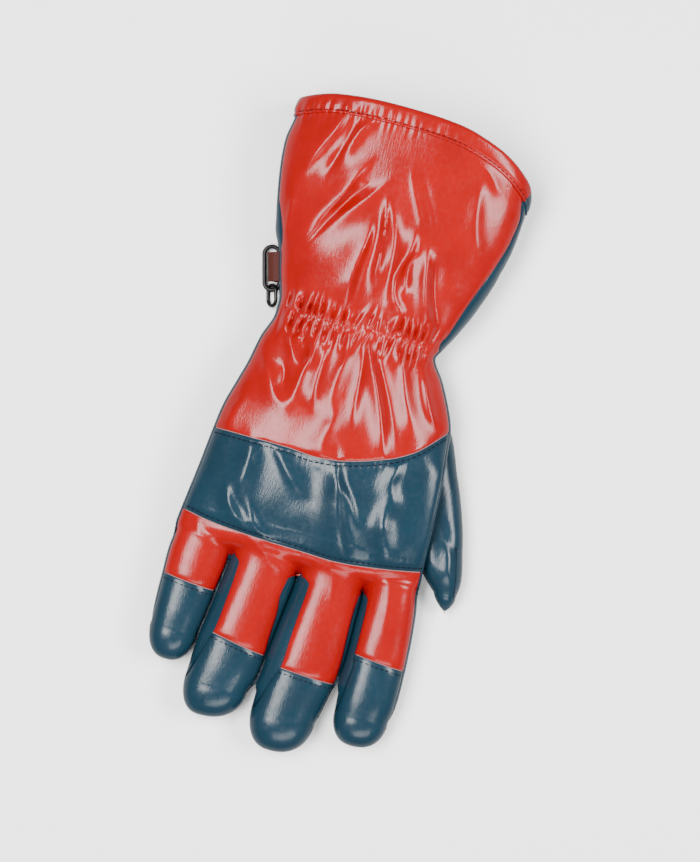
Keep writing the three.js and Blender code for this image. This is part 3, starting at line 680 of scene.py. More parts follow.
def fingerCap(name):
    lastY = fingerRows[name][-1]["y"]
    share = acrossPlaces(40)
    straight = fingerStrip(name, share, lambda x: capSeamY(name, x), lambda x: lastY, 30, fingerEdges)
    tip = tipRings(name, 1, share, 26)
    points = np.concatenate([straight, tip[1:]], axis=0)
    distance = np.minimum(np.minimum(*edgeDistances(points)), capSeamY(name, points[..., 0]) - points[..., 1])
    return gridMesh("fingertip_%s_cloth" % name, rollEdges(points, distance, up), up)


# Side walls of the fingers: down one finger, round the web and down the next
def footPlace(name, slit, y, endY):   # where the fork meets the palm, as a share of the finger's half width
    crown = finger[name]["crown"](y)
    foot = -cut["sink"] + tuckRise((finger[name]["left"](y) + finger[name]["right"](y)) / 2, y)
    middle = foot + cut["midHeight"] * (crown - foot)
    run = np.clip((slit["webY"] - y) / (slit["webY"] - endY), 0, 1)
    height = between(foot + forkFoot[0] + cut["sink"], middle, run**1.6)
    ratio = np.clip((middle - height) / (middle - foot), 0, 1)
    return (1 - ratio ** cut["underPower"]) ** (1 / cut["underPower"])


def wallEnd(name, slit):
    return max(slit["endY"], fingerRows[name][-1]["y"])


def palmFoot(name, slit, y, side):    # the palm's edge along a slit, which closes a little below the back's
    left, right = finger[name]["left"](y), finger[name]["right"](y)
    share = footPlace(name, slit, y, wallEnd(name, slit))
    edge = (left + right) / 2 + side * share * (right - left) / 2
    return slit["webX"] + (edge - slit["webX"]) * slitOpen(slit, y + slit["pouch"])


def wallBulge(slit, y):               # the soft walls swell until neighbouring fingers nearly touch
    gap = float(finger[slit["after"]]["left"](y) - finger[slit["before"]]["right"](y))
    return (gap / 2 + 0.1) * float(smooth(4.2 - gap, 0, 1.5))


def wallRow(name, slit, y, side, columns):     # one section of a side wall, from its upper seam to its foot
    left, right = float(finger[name]["left"](y)), float(finger[name]["right"](y))
    middleX, half = (left + right) / 2, (right - left) / 2
    seamX = float(seamRight(slit, y) if side > 0 else seamLeft(slit, y))
    footAt = (float(palmFoot(name, slit, np.array(float(y)), side)) - middleX) / half
    overCount = columns // 2
    seamAt = np.clip((seamX - middleX) / half, -1, 1)
    over = np.sin(np.linspace(np.arcsin(seamAt), side * np.pi / 2, overCount, endpoint=False))
    under = between(side, footAt, np.linspace(0, 1, columns - overCount) ** 1.6)
    x = middleX + half * np.concatenate([over, under])
    ys = np.full(columns, float(y))
    z = np.concatenate([backHeight(x[:overCount], ys[:overCount]), underside(x[overCount:], ys[overCount:])])
    x = x + side * wallBulge(slit, y) * np.sin(np.linspace(0, np.pi, columns))
    return np.stack([x, ys, z], axis=1)


def tuckedEdge(rows, inward):         # the wall's upper edge goes on under the back and closes the seam
    first = rows[:, :1] + np.array(inward)[:, None, :] * 2.2 - up * 1.6
    second = rows[:, :1] + np.array(inward)[:, None, :] * 0.5 - up * 0.5
    return np.concatenate([first, second, rows], axis=1)


def forkWall(slit):
    columns = 22
    fullOpen = slit["webY"] - webReach
    rightYs = np.linspace(wallEnd(slit["before"], slit), fullOpen, 56)
    leftYs = np.linspace(fullOpen, wallEnd(slit["after"], slit), 64)
    rightRows = [wallRow(slit["before"], slit, y, 1, columns) for y in rightYs]
    leftRows = [wallRow(slit["after"], slit, y, -1, columns) for y in leftYs]
    inward = [(-1, 0, 0)] * len(rightRows)
    webRows = []
    depth = np.linspace(0, 1, columns)
    for w in np.linspace(0, 1, 21)[1:-1]:
        row = between(rightRows[-1], leftRows[0], w)
        rise = math.sin(math.pi * w)
        topY = fullOpen + webReach * rise
        footY = between(fullOpen, max(slit["webY"] - slit["pouch"], fullOpen), rise)
        edge = float(seamRight(slit, topY) if w < 0.5 else seamLeft(slit, topY))
        name, side = (slit["before"], 1) if w < 0.5 else (slit["after"], -1)
        footX = float(palmFoot(name, slit, np.array(footY), side))
        top = np.array([edge, topY, float(backHeight(np.array([edge]), np.array([topY]))[0])])
        foot = np.array([footX, footY, float(underside(np.array([footX]), np.array([footY]))[0])])
        row += (top - row[0]) * (1 - depth[:, None]) + (foot - row[-1]) * depth[:, None]
        row[:, 1] += webPleat * math.cos(3 * math.pi * w) * np.sin(np.pi * depth) * rise
        webRows.append(row)
        inward.append((-math.cos(math.pi * w), math.sin(math.pi * w), 0))
    inward += [(1, 0, 0)] * len(leftRows)
    points = tuckedEdge(np.array(rightRows + webRows + leftRows), inward)
    piece = gridMesh(slit["name"] + "_cloth", points)
    lowOnWall = (len(rightRows) // 2) * (points.shape[1] - 1) + columns * 3 // 4
    if piece.data.polygons[lowOnWall].normal.x < 0:
        piece.data.flip_normals()
    return piece


# Blue underside of the cuff and hand: from seam to seam, round both sides
def wrapPoints(startLine, endLine, rows, underCount, overCount=10):
    under = np.sin(np.linspace(-np.pi / 2, np.pi / 2, underCount))
    count = overCount * 2 + underCount
    sides = np.concatenate([np.ones(overCount), -np.ones(underCount), np.ones(overCount)])
    grid = []
    for t in np.linspace(0, 1, rows):
        y = np.full(count, between(float(startLine(0)), float(endLine(0)), t))
        for _ in range(6):
            leftSeam, rightSeam = seamPlace("left", y), seamPlace("right", y)
            share = np.arange(overCount) / overCount
            leftOver = np.sin(between(np.arcsin(leftSeam[:overCount]), -np.pi / 2, share))
            rightOver = np.sin(between(np.pi / 2, np.arcsin(rightSeam[-overCount:]), share + 1 / overCount))
            place = np.concatenate([leftOver, under, rightOver])
            left, right = outerEdge("left", y), outerEdge("right", y)
            x = (left + right) / 2 + place * (right - left) / 2
            y = between(startLine(x), endLine(x), t)
        z = np.where(sides > 0, backHeight(x, y), underside(x, y))
        grid.append(np.stack([x, y, z], axis=1))
    return np.array(grid)


def outwardFrom(points):              # rough outward direction: away from the middle of each section
    middle = points.mean(axis=1, keepdims=True)
    return points - middle


def wrapPiece(name, startLine, endLine, rows, underCount):
    points = wrapPoints(startLine, endLine, rows, underCount)
    distance = np.minimum(*edgeDistances(points))
    return gridMesh(name, rollEdges(points, distance, outwardFrom(points)))


def faceOutward(piece, inside):       # turns a mesh's faces away from a point inside the glove
    centre = np.array(toFrame(np.array(inside)))
    away = 0
    for polygon in piece.data.polygons:
        away += np.dot(np.array(polygon.normal), np.array(polygon.center) - centre) * polygon.area
    if away < 0:
        piece.data.flip_normals()
    return piece


palmStripStart = -78                  # under the end of the hand's part


def palmStrip(name):
    at = fingerNames.index(name)
    lastY = fingerRows[name][-1]["y"]
    share = acrossPlaces(36)
    overCount = 4                     # points from the outline up to the side seam
    turn = np.linspace(0, 1, overCount)
    rows = []
    for y in np.linspace(palmStripStart, lastY, 80):
        one = np.array([y])
        left = outerEdge("left", one) if at == 0 else palmFoot(name, slits[at - 1], one, -1)
        right = outerEdge("right", one) if at == 3 else palmFoot(name, slits[at], one, 1)
        x = between(left, right, share)
        z = underside(x, np.full_like(x, y))
        leftTurn = between(outerSeam("left", one), left, turn) if at == 0 else x[:1]
        rightTurn = between(right, outerSeam("right", one), turn) if at == 3 else x[-1:]
        leftTurn, rightTurn = np.resize(leftTurn, overCount), np.resize(rightTurn, overCount)
        leftZ = backHeight(leftTurn, np.full(overCount, y)) if at == 0 else np.full(overCount, z[0])
        rightZ = backHeight(rightTurn, np.full(overCount, y)) if at == 3 else np.full(overCount, z[-1])
        x = np.concatenate([leftTurn, x, rightTurn])
        z = np.concatenate([leftZ, z, rightZ])
        rows.append(np.stack([x, np.full_like(x, y), z], axis=1))
    tip = tipRings(name, -1, share, 24)
    for ring in tip[1:]:
        sides = [np.repeat(ring[:1], overCount, axis=0), ring, np.repeat(ring[-1:], overCount, axis=0)]
        rows.append(np.concatenate(sides))
    points = np.array(rows)
    fromLeft, fromRight = edgeDistances(points)
    distance = fromLeft if at == 0 else fromRight if at == 3 else fromLeft + 99
    distance = distance + 9 * smooth(lastY - points[..., 1], 0, 5)
    return gridMesh("palm_" + name, rollEdges(points, distance, outwardFrom(points)))


def elasticLine(x):
    return cut["elasticY"] + 0 * x


def palmPanel():
    hand = wrapPiece("palm_hand", webLine, elasticLine, 90, 90)
    strips = [palmStrip(name) for name in fingerNames]
    for piece, name in zip(strips, fingerNames):
        middle = fingerRows[name][2]
        faceOutward(piece, ((middle["left"] + middle["right"]) / 2, middle["y"], middle["crown"] / 2))
    faceOutward(hand, (-8, -20, 20))
    return joined("palm_panel_cloth", [hand] + strips)


# Thumb: a round tube whose base is sewn into the palm, under the hand
def thumbTube():
    over = np.sin(np.linspace(-np.pi / 2, np.pi / 2, 34))
    under = over[::-1][1:-1]
    foot = -cut["sink"]
    rows = []
    lastY = thumbRows[-1]["y"]

    def ring(y, crown, middleX, half, scale, tipZ):
        x = middleX + np.concatenate([over, under]) * half * scale
        z = np.concatenate([overHeight(over, foot, crown), underHeight(under, foot, crown)])
        z = between(tipZ, z, scale)
        bulge = np.concatenate([dome(over, 2), under * 0])
        z = z + (0.5 * unevenness(x + 40, np.full_like(x, y)) + foldHeight(x, np.full_like(x, y))) * bulge
        return np.stack([x, np.full_like(x, y), np.maximum(z, 0)], axis=1)

    for y in np.linspace(14, lastY, 84):
        left, right, crown = (float(thumb[column](y)) for column in ("left", "right", "crown"))
        row = ring(y, crown, (left + right) / 2, (right - left) / 2, 1, 0)
        row[:, 2] = np.maximum(row[:, 2], 3 * smooth(y, -4, 6))      # clear of the palm, which lies lower
        rows.append(row)
    left, right, crown = (float(thumb[column](lastY)) for column in ("left", "right", "crown"))
    for turn in np.linspace(0, math.pi / 2, 26)[1:]:
        ahead = math.sin(turn)
        middleX = between((left + right) / 2, thumbTip["x"], ahead)
        y = lastY + (thumbTip["y"] - lastY) * ahead
        scale = max(1 - ahead**1.6, 0) ** 0.85
        rows.append(ring(y, crown, middleX, (right - left) / 2, scale, thumbTip["z"]))
    piece = gridMesh("thumb_cloth", np.array(rows), closeAround=True)
    return faceOutward(piece, (62, -40, 9))


def onThumb(x, y, lift):
    left, right = thumb["left"](y), thumb["right"](y)
    place = (x - (left + right) / 2) / ((right - left) / 2)
    return np.stack([x, y, overHeight(place, -cut["sink"], thumb["crown"](y)) + lift], axis=1)


# Hem: the cloth folded over at the cuff's edge, stitched down on the glove
hemSection = rowsOf(                  # along the glove from the stitch line, and out of the cloth
    "along out",
    (-1.5, 0), (-1.6, 0.45), (-1.45, 0.85), (-1, 1), (-0.5, 0.85), (0, 0.62), (0.6, 0.9), (1.4, 1.15),
    (2.8, 1.2), (4.4, 1.15), (6, 1.05), (7.2, 0.9), (8.2, 0.45), (8.8, -0.4), (9, -1.4), (8.75, -2.3),
    (8.1, -2.95), (7, -3.2), (5, -3.2), (3, -3.15), (1, -3.1), (-0.5, -3), (-1.5, -2.4), (-1.6, -1.2),
)


def cuffLine(move):                   # a line along the cuff, this far from the hem's stitches
    return lambda x: hemLine(x) - hemDepth + move


def hemBase(under, count):            # rows along the glove, columns round the cuff
    steps = np.linspace(-2.2, 9.2, 20)
    low, high = cuffLine(steps[0]), cuffLine(steps[-1])
    if under:
        points = wrapPoints(low, high, len(steps), count, 5)
    else:
        points, _, _ = bandPoints(low, high, len(steps), count)
    normal = gridNormals(points)
    outward = outwardFrom(points) if under else up
    normal *= np.sign(np.sum(normal * outward, axis=2, keepdims=True))
    return steps, points, normal


def hemAt(steps, points, normal, along):
    k = np.clip((along - steps[0]) / (steps[1] - steps[0]), 0, len(steps) - 1.001)
    i = int(k)
    place = between(points[i], points[i + 1], k - i)
    return place, between(normal[i], normal[i + 1], k - i)


hemRipple = {"height": 0.2, "turns": 1.35, "wander": 2.2, "along": 1.8, "reach": 7, "uneven": 0.35}


def hemBand(name, under):
    steps, points, normal = hemBase(under, 190)
    section = []
    for row in hemSection:
        place, out = hemAt(steps, points, normal, row["along"])
        x, y = place[:, 0], place[:, 1]
        wave = x * hemRipple["turns"] + hemRipple["wander"] * softNoise(x, x * 0, 9, 11)
        beside = math.exp(-((row["along"] - hemRipple["along"]) ** 2) / hemRipple["reach"])
        ripple = hemRipple["height"] * np.sin(wave) * beside * smooth(-x, -46, 10)
        ripple = ripple * (0.4 + 1.2 * smooth(softNoise(x, x * 0, 15, 15), -0.4, 0.4))
        ripple = ripple + hemRipple["uneven"] * softNoise(x, y, 9, 13)
        lift = row["out"] + ripple * (row["out"] > 0)
        section.append(place + out * lift[:, None])
    section = np.array(section).transpose(1, 0, 2)
    section[..., 2] = np.maximum(section[..., 2], 0.02)
    piece = gridMesh(name, section, closeAround=True)
    return piece, steps, points, normal


# Round plastic rod bent into a closed oblong ring
def oblongRing(width, length, rod, endSteps=16, sides=14):
    radius = (width - rod) / 2
    straight = (length - rod) / 2 - radius
    rows = []
    for end in (1, -1):
        for turn in np.linspace(0, np.pi, endSteps):
            angle = turn + (0 if end > 0 else np.pi)
            out = np.array([math.cos(angle), math.sin(angle), 0])
            middle = out * radius + np.array([0, end * straight, 0])
            around = np.linspace(0, 2 * np.pi, sides, endpoint=False)[:, None]
            rows.append(middle + (np.cos(around) * out + np.sin(around) * up) * rod / 2)
    rows.append(rows[0])
    return np.array(rows)


def turned(points, angle, axis, place):
    matrix = np.array(Matrix.Rotation(angle, 3, axis))
    return points @ matrix.T + np.array(place)


# Stitches: short rounded threads laid along a path on the cloth
def backNormal(x, y):
    step = 0.3
    dx = (backHeight(x + step, y) - backHeight(x - step, y)) / (2 * step)
    dy = (backHeight(x, y + step) - backHeight(x, y - step)) / (2 * step)
    normal = np.stack([-dx, -dy, np.ones_like(dx)], axis=-1)
    return normal / np.linalg.norm(normal, axis=-1, keepdims=True)


def onBack(x, y, lift):               # a path on the back, raised out of the cloth
    points = np.stack([x, y, backHeight(x, y)], axis=1)
    return points + backNormal(x, y) * lift


stitchSizes = {                       # length, width and spacing
    "strap": (2.7, 0.55, 3.1), "hem": (2.5, 0.5, 3.0), "cap": (2.0, 0.5, 2.9), "thumb": (1.9, 0.45, 2.7),
}


def stitches(name, path, normals, kind):
    length, width, spacing = stitchSizes[kind]
    sides, stations = 6, np.array([0.0, 0.08, 0.3, 0.7, 0.92, 1.0])
    girth = np.array([0.15, 0.7, 1.0, 1.0, 0.7, 0.15])
    reached = np.concatenate([[0], np.cumsum(np.linalg.norm(np.diff(path, axis=0), axis=1))])
    at = np.arange(spacing / 2, reached[-1], spacing)

    def read(values, where):
        return np.stack([np.interp(where, reached, values[:, k]) for k in range(3)], axis=1)

    vertices, faces = [], []
    for place, out, ahead in zip(read(path, at), read(normals, at), read(path, at + 0.4)):
        along = ahead - place
        if np.linalg.norm(along) < 1e-6:
            continue
        along = along / np.linalg.norm(along)
        side = np.cross(out, along)
        base = len(vertices)
        for share, size in zip(stations, girth):
            middle = place + along * (share - 0.5) * length - out * (abs(share - 0.5) * 2) ** 3 * width * 0.7
            for k in range(sides):
                angle = 2 * math.pi * k / sides
                spoke = side * math.cos(angle) + out * math.sin(angle) * 0.75
                vertices.append(middle + spoke * width / 2 * size)
        for i in range(len(stations) - 1):
            for k in range(sides):
                a = base + i * sides + k
                b = base + i * sides + (k + 1) % sides
                faces.append((a, b, b + sides, a + sides))
        faces.append(tuple(base + k for k in reversed(range(sides))))
        faces.append(tuple(base + (len(stations) - 1) * sides + k for k in range(sides)))
    mesh = bpy.data.meshes.new(name)
    mesh.from_pydata(toFrame(np.array(vertices)).tolist(), [], faces)
    piece = bpy.data.objects.new(name, mesh)
    bpy.context.collection.objects.link(piece)
    return piece


def bead(name, path, normals, radius, sides=6):      # a thin raised edge along a seam
    along = np.gradient(path, axis=0)
    along /= np.maximum(np.linalg.norm(along, axis=1, keepdims=True), 1e-9)
    side = np.cross(normals, along)
    around = np.linspace(0, 2 * np.pi, sides, endpoint=False)
    points = path[:, None] + radius * (
        np.cos(around)[None, :, None] * side[:, None] + np.sin(around)[None, :, None] * normals[:, None])
    return gridMesh(name, points, closeAround=True)


# Materials
def nodeGroup(name, inputs, outputs):
    group = bpy.data.node_groups.new(name, "ShaderNodeTree")
    for label, kind, value in inputs:
        socket = group.interface.new_socket(name=label, in_out="INPUT", socket_type=kind)
        socket.default_value = value
    for label, kind in outputs:
        group.interface.new_socket(name=label, in_out="OUTPUT", socket_type=kind)
    return group, group.nodes.new("NodeGroupInput"), group.nodes.new("NodeGroupOutput")


def nodeWith(nodes, kind, **inputs):
    node = nodes.new(kind)
    for label, value in inputs.items():
        node.inputs[label.replace("_", " ")].default_value = value
    return node


def coatedSurface():                  # unevenness of a smooth coating on knitted cloth
    group, source, sink = nodeGroup(
        "coated_surface",
        [("Knit", "NodeSocketFloat", 0.25), ("Wrinkle", "NodeSocketFloat", 0.5)],
        [("Tone", "NodeSocketFloat"), ("Roughness", "NodeSocketFloat"), ("Normal", "NodeSocketVector")],
    )
    link, nodes = group.links.new, group.nodes
    where = nodes.new("ShaderNodeTexCoord").outputs["Object"]

    def cloudy(scale, detail, roughness):
        node = nodeWith(nodes, "ShaderNodeTexNoise", Scale=scale, Detail=detail, Roughness=roughness)
        link(where, node.inputs["Vector"])
        return node.outputs["Fac"]

    def ranged(value, low, high):
        node = nodeWith(nodes, "ShaderNodeMapRange", From_Min=0.3, From_Max=0.7, To_Min=low, To_Max=high)
        link(value, node.inputs["Value"])
        return node.outputs["Result"]

    def bump(height, distance, strength, normal=None):
        node = nodeWith(nodes, "ShaderNodeBump", Distance=distance)
        link(strength, node.inputs["Strength"])
        link(height, node.inputs["Height"])
        if normal:
            link(normal, node.inputs["Normal"])
        return node.outputs["Normal"]

    broad, fine = cloudy(90, 1, 0.4), cloudy(420, 2, 0.5)
    stretch = nodeWith(nodes, "ShaderNodeMapping", Scale=(1, 0.14, 1))       # the ribs run along the glove
    link(where, stretch.inputs["Vector"])
    ribs = nodeWith(nodes, "ShaderNodeTexNoise", Scale=1500, Detail=2)
    link(stretch.outputs["Vector"], ribs.inputs["Vector"])
    link(ranged(cloudy(60, 2, 0.5), 0.9, 1.06), sink.inputs["Tone"])
    link(ranged(fine, -0.04, 0.06), sink.inputs["Roughness"])
    normal = bump(broad, 0.0012, source.outputs["Wrinkle"])
    normal = bump(fine, 0.0002, source.outputs["Wrinkle"], normal)
    normal = bump(ribs.outputs["Fac"], 0.0002, source.outputs["Knit"], normal)
    link(normal, sink.inputs["Normal"])
    return group


coated = coatedSurface()


def wovenSurface():                   # fine strands or fleece: tone and relief at a chosen scale
    group, source, sink = nodeGroup(
        "woven_surface",
        [("Scale", "NodeSocketFloat", 900), ("Depth", "NodeSocketFloat", 0.5)],
        [("Tone", "NodeSocketFloat"), ("Normal", "NodeSocketVector")],
    )
    link, nodes = group.links.new, group.nodes
    where = nodes.new("ShaderNodeTexCoord").outputs["Object"]
    strands = nodeWith(nodes, "ShaderNodeTexNoise", Detail=3)
    link(where, strands.inputs["Vector"])
    link(source.outputs["Scale"], strands.inputs["Scale"])
    tone = nodeWith(nodes, "ShaderNodeMapRange", To_Min=0.7, To_Max=1.3)
    link(strands.outputs["Fac"], tone.inputs["Value"])
    link(tone.outputs["Result"], sink.inputs["Tone"])
    relief = nodeWith(nodes, "ShaderNodeBump", Distance=0.0004)
    link(source.outputs["Depth"], relief.inputs["Strength"])
    link(strands.outputs["Fac"], relief.inputs["Height"])
    link(relief.outputs["Normal"], sink.inputs["Normal"])
    return group


woven = wovenSurface()


def plainMaterial(name, colour, roughness, specular=0.5):
    material = bpy.data.materials.new(name)
    material.use_nodes = True
    shader = material.node_tree.nodes["Principled BSDF"]
    shader.inputs["Base Color"].default_value = (*colour, 1)
    shader.inputs["Roughness"].default_value = roughness
    shader.inputs["Specular IOR Level"].default_value = specular
    return material, shader


def surfacedMaterial(name, colour, roughness, specular, effect, **settings):
    material, shader = plainMaterial(name, colour, roughness, specular)
    nodes, link = material.node_tree.nodes, material.node_tree.links.new
    surface = nodes.new("ShaderNodeGroup")
    surface.node_tree = effect
    for label, value in settings.items():
        surface.inputs[label].default_value = value
    shade = nodeWith(nodes, "ShaderNodeMixRGB", Fac=1, Color1=(*colour, 1))
    shade.blend_type = "MULTIPLY"
    link(surface.outputs["Tone"], shade.inputs["Color2"])
    link(shade.outputs["Color"], shader.inputs["Base Color"])
    link(surface.outputs["Normal"], shader.inputs["Normal"])
    if "Roughness" in surface.outputs:
        rough = nodes.new("ShaderNodeMath")
        rough.inputs[1].default_value = roughness
        link(surface.outputs["Roughness"], rough.inputs[0])
        link(rough.outputs["Value"], shader.inputs["Roughness"])
    return material


def coatedMaterial(name, colour, roughness):
    return surfacedMaterial(name, colour, roughness, 0.27, coated, Knit=0.3, Wrinkle=0.1)


def wovenMaterial(name, colour, roughness, specular, scale, depth):
    return surfacedMaterial(name, colour, roughness, specular, woven, Scale=scale, Depth=depth)


red = coatedMaterial("red coated cloth", (0.235, 0.0015, 0.0018), 0.2)
blue = coatedMaterial("blue coated cloth", (0.006, 0.021, 0.034), 0.21)
lining = wovenMaterial("fleece lining", (0.62, 0.6, 0.56), 0.95, 0.2, 900, 0.9)
navyThread = wovenMaterial("navy thread", (0.0015, 0.003, 0.008), 0.7, 0.1, 2500, 0.5)
maroonThread = wovenMaterial("maroon thread", (0.045, 0.003, 0.003), 0.7, 0.1, 2500, 0.5)
paleThread = wovenMaterial("pale thread", (0.12, 0.15, 0.18), 0.7, 0.1, 2500, 0.5)
rawEdge = wovenMaterial("cut edge of the backing", (0.2, 0.11, 0.11), 0.8, 0.1, 1800, 0.8)
labelCloth = wovenMaterial("label cloth", (0.045, 0.008, 0.005), 0.6, 0.15, 1300, 0.6)
blackPlastic = wovenMaterial("black plastic", (0.006, 0.005, 0.005), 0.3, 0.25, 700, 0.15)
print("materials made")

# Panels of the back
backPiece("back_panel", strapTopLine, cuffLine(3), 210, 176, red)
print("back panel made")
backPiece("knuckle_strap", strapBottomLine, strapTopLine, 64, 168, blue)
clothPiece(fingerBacks(), "finger_backs", red, 0.7, -72)
for name in fingerNames:
    clothPiece(fingerCap(name), "fingertip_" + name, blue)
for slit in slits:
    clothPiece(forkWall(slit), slit["name"], blue, 1.2, 0)
print("finger panels made")

# Underside and thumb
besideKnuckles = (-86, -66)
palm = clothPiece(palmPanel(), "palm_panel", blue, linedAbove=-60)
for vertex in palm.data.vertices:      # the lining's corners stay inside the outline beside the knuckles
    x, y = vertex.co.x / mm - centreShift[0], vertex.co.y / mm - centreShift[1]
    if besideKnuckles[0] < y < besideKnuckles[1]:
        low, high = (float(outerEdge(side, np.array([y]))[0]) for side in ("left", "right"))
        vertex.co.x = (min(max(x, low), high) + centreShift[0]) * mm
cuffPalm = wrapPiece("cuff_palm_cloth", elasticLine, cuffLine(1), 130, 100)
clothPiece(faceOutward(cuffPalm, (-2, 100, 20)), "cuff_palm", blue)
clothPiece(thumbTube(), "thumb", blue)
print("underside made")

# Hem
for node, under, material, slotName in (
    ("hem_back", False, red, "red_coated"), ("hem_palm", True, blue, "blue_coated"),
):
    band, steps, points, normal = hemBand(node + "_cloth", under)
    if not under:
        place, out = hemAt(steps, points, normal, 0.0)
        hemPath, hemOut = place + out * 0.95, out
    mergeDoubles(band, turnOutward=True)
    plainPiece(band, material, node)
print("hem made")

# Label and clip
clip = {"centre": (-58.4, 70.8, 3.6), "turn": math.radians(14.5), "rod": 2.35, "width": 10.4, "length": 25.4}
linkRing = {"rod": 2.0, "width": 9.0, "length": 13.0, "place": (0, -14.4, 0.2), "lean": math.radians(52)}
labelTape = {"low": -7.3, "high": 8.0, "cloth": 1.5, "eyeWall": 0.9, "eyeSlack": 0.85}
labelPath = rowsOf(
    "step x z",
    (0, 6.2, 15), (1, 4.9, 15.2), (2, 1.6, 14.9), (3, -0.7, 13), (4, -1.2, 9.6), (5, 0.2, 6.6), (6, 1.6, 5.2),
)


def clipPlaced(points):
    return turned(points, clip["turn"], "Z", clip["centre"])


def labelSheet(name, x, z, thickness, closed):
    ys = np.linspace(labelTape["low"], labelTape["high"], 16)
    rows = np.array([np.stack([x, np.full_like(x, y), z], axis=1) for y in ys])
    piece = gridMesh(name, clipPlaced(rows), closeAround=closed)
    applyModifier(piece, "SOLIDIFY", thickness=thickness * mm, offset=0)
    return piece


def labelPieces():
    fine = np.linspace(0, len(labelPath) - 1, 40)
    x = lineThrough(labelPath, "x", "step")(fine)
    z = lineThrough(labelPath, "z", "step")(fine) - clip["centre"][2]
    tape = labelSheet("label_tape", x, z, labelTape["cloth"], False)
    radius = clip["rod"] / 2 + labelTape["eyeSlack"] + labelTape["eyeWall"] / 2
    angle = np.linspace(0, 2 * np.pi, 36, endpoint=False)
    eyeX = (clip["width"] - clip["rod"]) / 2 + radius * np.cos(angle)
    eye = labelSheet("label_eye", eyeX, radius * np.sin(angle), labelTape["eyeWall"], True)
    return joined("label_loop_cloth", [tape, eye])


plainPiece(labelPieces(), labelCloth, "label_loop")
ring = clipPlaced(oblongRing(clip["width"], clip["length"], clip["rod"]))
ring = faceOutward(gridMesh("clip_hook_rod", ring, closeAround=True), clip["centre"])
plainPiece(ring, blackPlastic, "clip_hook")
loose = oblongRing(linkRing["width"], linkRing["length"], linkRing["rod"])
loose = clipPlaced(turned(loose, -linkRing["lean"], "Y", linkRing["place"]))
plainPiece(gridMesh("clip_link_rod", loose, closeAround=True), blackPlastic, "clip_link")
print("clip made")

# Stitches and cut edges along the seams of the back
def seamPath(line, move, lift):       # along a seam across the back, from side seam to side seam
    x = np.linspace(-70, 62, 400)
    y = line(x) + move
    inside = (x > outerSeam("left", y) + 1) & (x < outerSeam("right", y) - 1)
    x, y = x[inside], y[inside]
    return onBack(x, y, lift), backNormal(x, y)


def capPath(name, move, lift):
    leftY, rightY = capSeams[name]
    middleY = (leftY + rightY) / 2 + move
    left, right = fingerEdges(name, np.array([middleY]))
    x = np.linspace(float(left[0]) + 0.8, float(right[0]) - 0.8, 60)
    y = capSeamY(name, x) + move
    return onBack(x, y, lift), backNormal(x, y)


strapStitches = []
for label, line, move in strapSeams:
    path, out = seamPath(line, move, 0.12)
    strapStitches.append(stitches("strap_stitches_" + label, path, out, "strap"))
plainPiece(joined("strap_stitches", strapStitches), navyThread)
hemStitches = stitches("hem_stitches", hemPath, hemOut, "hem")
plainPiece(hemStitches, maroonThread)
capStitchLine = -2.5                  # below the cap's seam
capStitches = []
for name in fingerNames:
    path, out = capPath(name, capStitchLine, 0.05)
    capStitches.append(stitches("cap_stitches_" + name, path, out, "cap"))
plainPiece(joined("cap_stitches", capStitches), navyThread)
edgeBead = {"sunk": -0.55, "strap": 0.24, "cap": 0.22}
edges = []
for label, line, _ in strapSeams:
    path, out = seamPath(line, 0, edgeBead["sunk"])
    edges.append(bead("strap_edge_" + label, path, out, edgeBead["strap"]))
for name in fingerNames:
    path, out = capPath(name, 0, edgeBead["sunk"])
    edges.append(bead("cap_edge_" + name, path, out, edgeBead["cap"]))
plainPiece(joined("seam_edges", edges), rawEdge)
thumbSeam = rowsOf("x y", (72.6, -48), (74.6, -56), (76.4, -64), (77.6, -71), (78.0, -74))
seamY = np.linspace(thumbSeam[0]["y"], thumbSeam[-1]["y"], 60)
seamX = lineThrough(thumbSeam, "x")(seamY)
thumbPath = onThumb(seamX, seamY, -0.1)
thumbOut = np.tile(np.array([0.45, 0, 0.9]), (len(seamY), 1))
plainPiece(bead("thumb_seam", thumbPath, thumbOut, 0.35), navyThread)
beside = onThumb(seamX + 1.1, seamY, -0.2)
plainPiece(stitches("thumb_stitches", beside, thumbOut, "thumb"), paleThread)
print("stitches made")

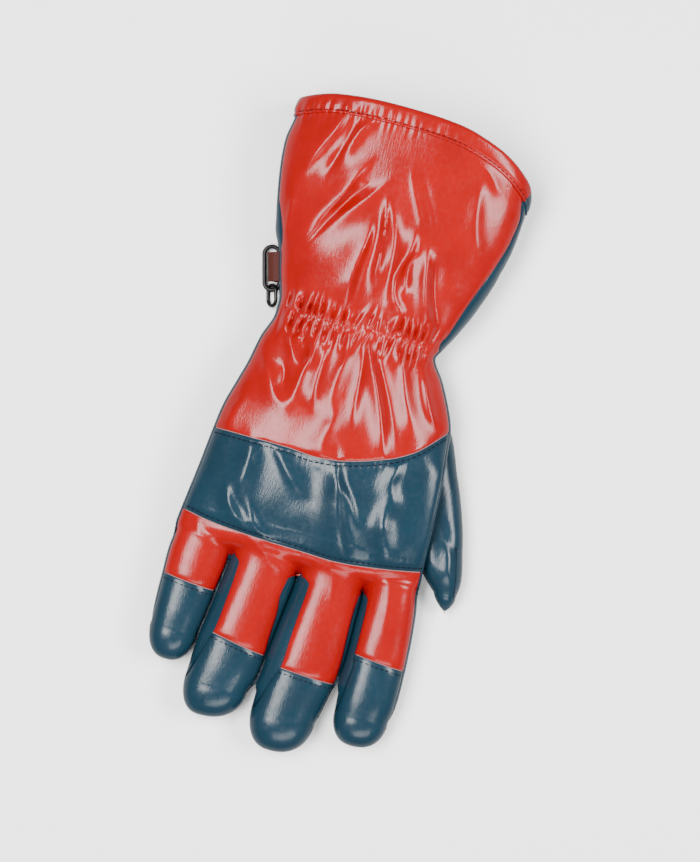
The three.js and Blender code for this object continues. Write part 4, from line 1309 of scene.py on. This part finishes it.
# Pale floor, camera and studio light
bpy.ops.mesh.primitive_plane_add(size=3, location=(0, 0, 0))
floor = bpy.context.object
floor.name = "floor"
floorMaterial, floorShader = plainMaterial("pale floor", (0.9, 0.9, 0.9), 0.9, 0.1)
floorNodes, floorLink = floorMaterial.node_tree.nodes, floorMaterial.node_tree.links.new
# The floor throws back less light than it shows, so that the glove has no pale rim
floorTone = nodeWith(floorNodes, "ShaderNodeMixRGB", Color1=(0.35, 0.35, 0.35, 1), Color2=(0.9, 0.9, 0.9, 1))
floorLink(floorNodes.new("ShaderNodeLightPath").outputs["Is Camera Ray"], floorTone.inputs["Fac"])
floorLink(floorTone.outputs["Color"], floorShader.inputs["Base Color"])
floor.data.materials.append(floorMaterial)

photoTurn = math.radians(14.5)
cameraData = bpy.data.cameras.new("camera")
cameraData.sensor_fit = "VERTICAL"
cameraData.sensor_height = 24
cameraData.lens = 79.5
camera = bpy.data.objects.new("camera", cameraData)
camera.location = (0.0002, 0.0022, 1.518)
camera.rotation_euler = (0, 0, photoTurn)
bpy.context.collection.objects.link(camera)
bpy.context.scene.camera = camera


def softBox(name, direction, height, size, energy):      # direction in the picture: right, up
    lightData = bpy.data.lights.new(name, "AREA")
    lightData.shape = "RECTANGLE"
    lightData.size, lightData.size_y = size
    lightData.energy = energy
    light = bpy.data.objects.new(name, lightData)
    rightward, upward = direction
    x = rightward * math.cos(photoTurn) - upward * math.sin(photoTurn)
    y = rightward * math.sin(photoTurn) + upward * math.cos(photoTurn)
    light.location = (x, y, height)
    light.rotation_euler = Vector((x, y, height)).to_track_quat("Z", "Y").to_euler()
    bpy.context.collection.objects.link(light)


softBox("key", (-0.53, 0.12), 1.3, (1.15, 0.6), 54)
softBox("side", (1.0, 0.06), 1.0, (0.9, 0.45), 32)
softBox("front", (0.1, -1.1), 1.1, (1.0, 0.45), 12)
world = bpy.data.worlds.new("studio")
world.use_nodes = True
world.node_tree.nodes["Background"].inputs["Color"].default_value = (1, 1, 1, 1)
world.node_tree.nodes["Background"].inputs["Strength"].default_value = 0.25
bpy.context.scene.world = world
print("stage and light made")
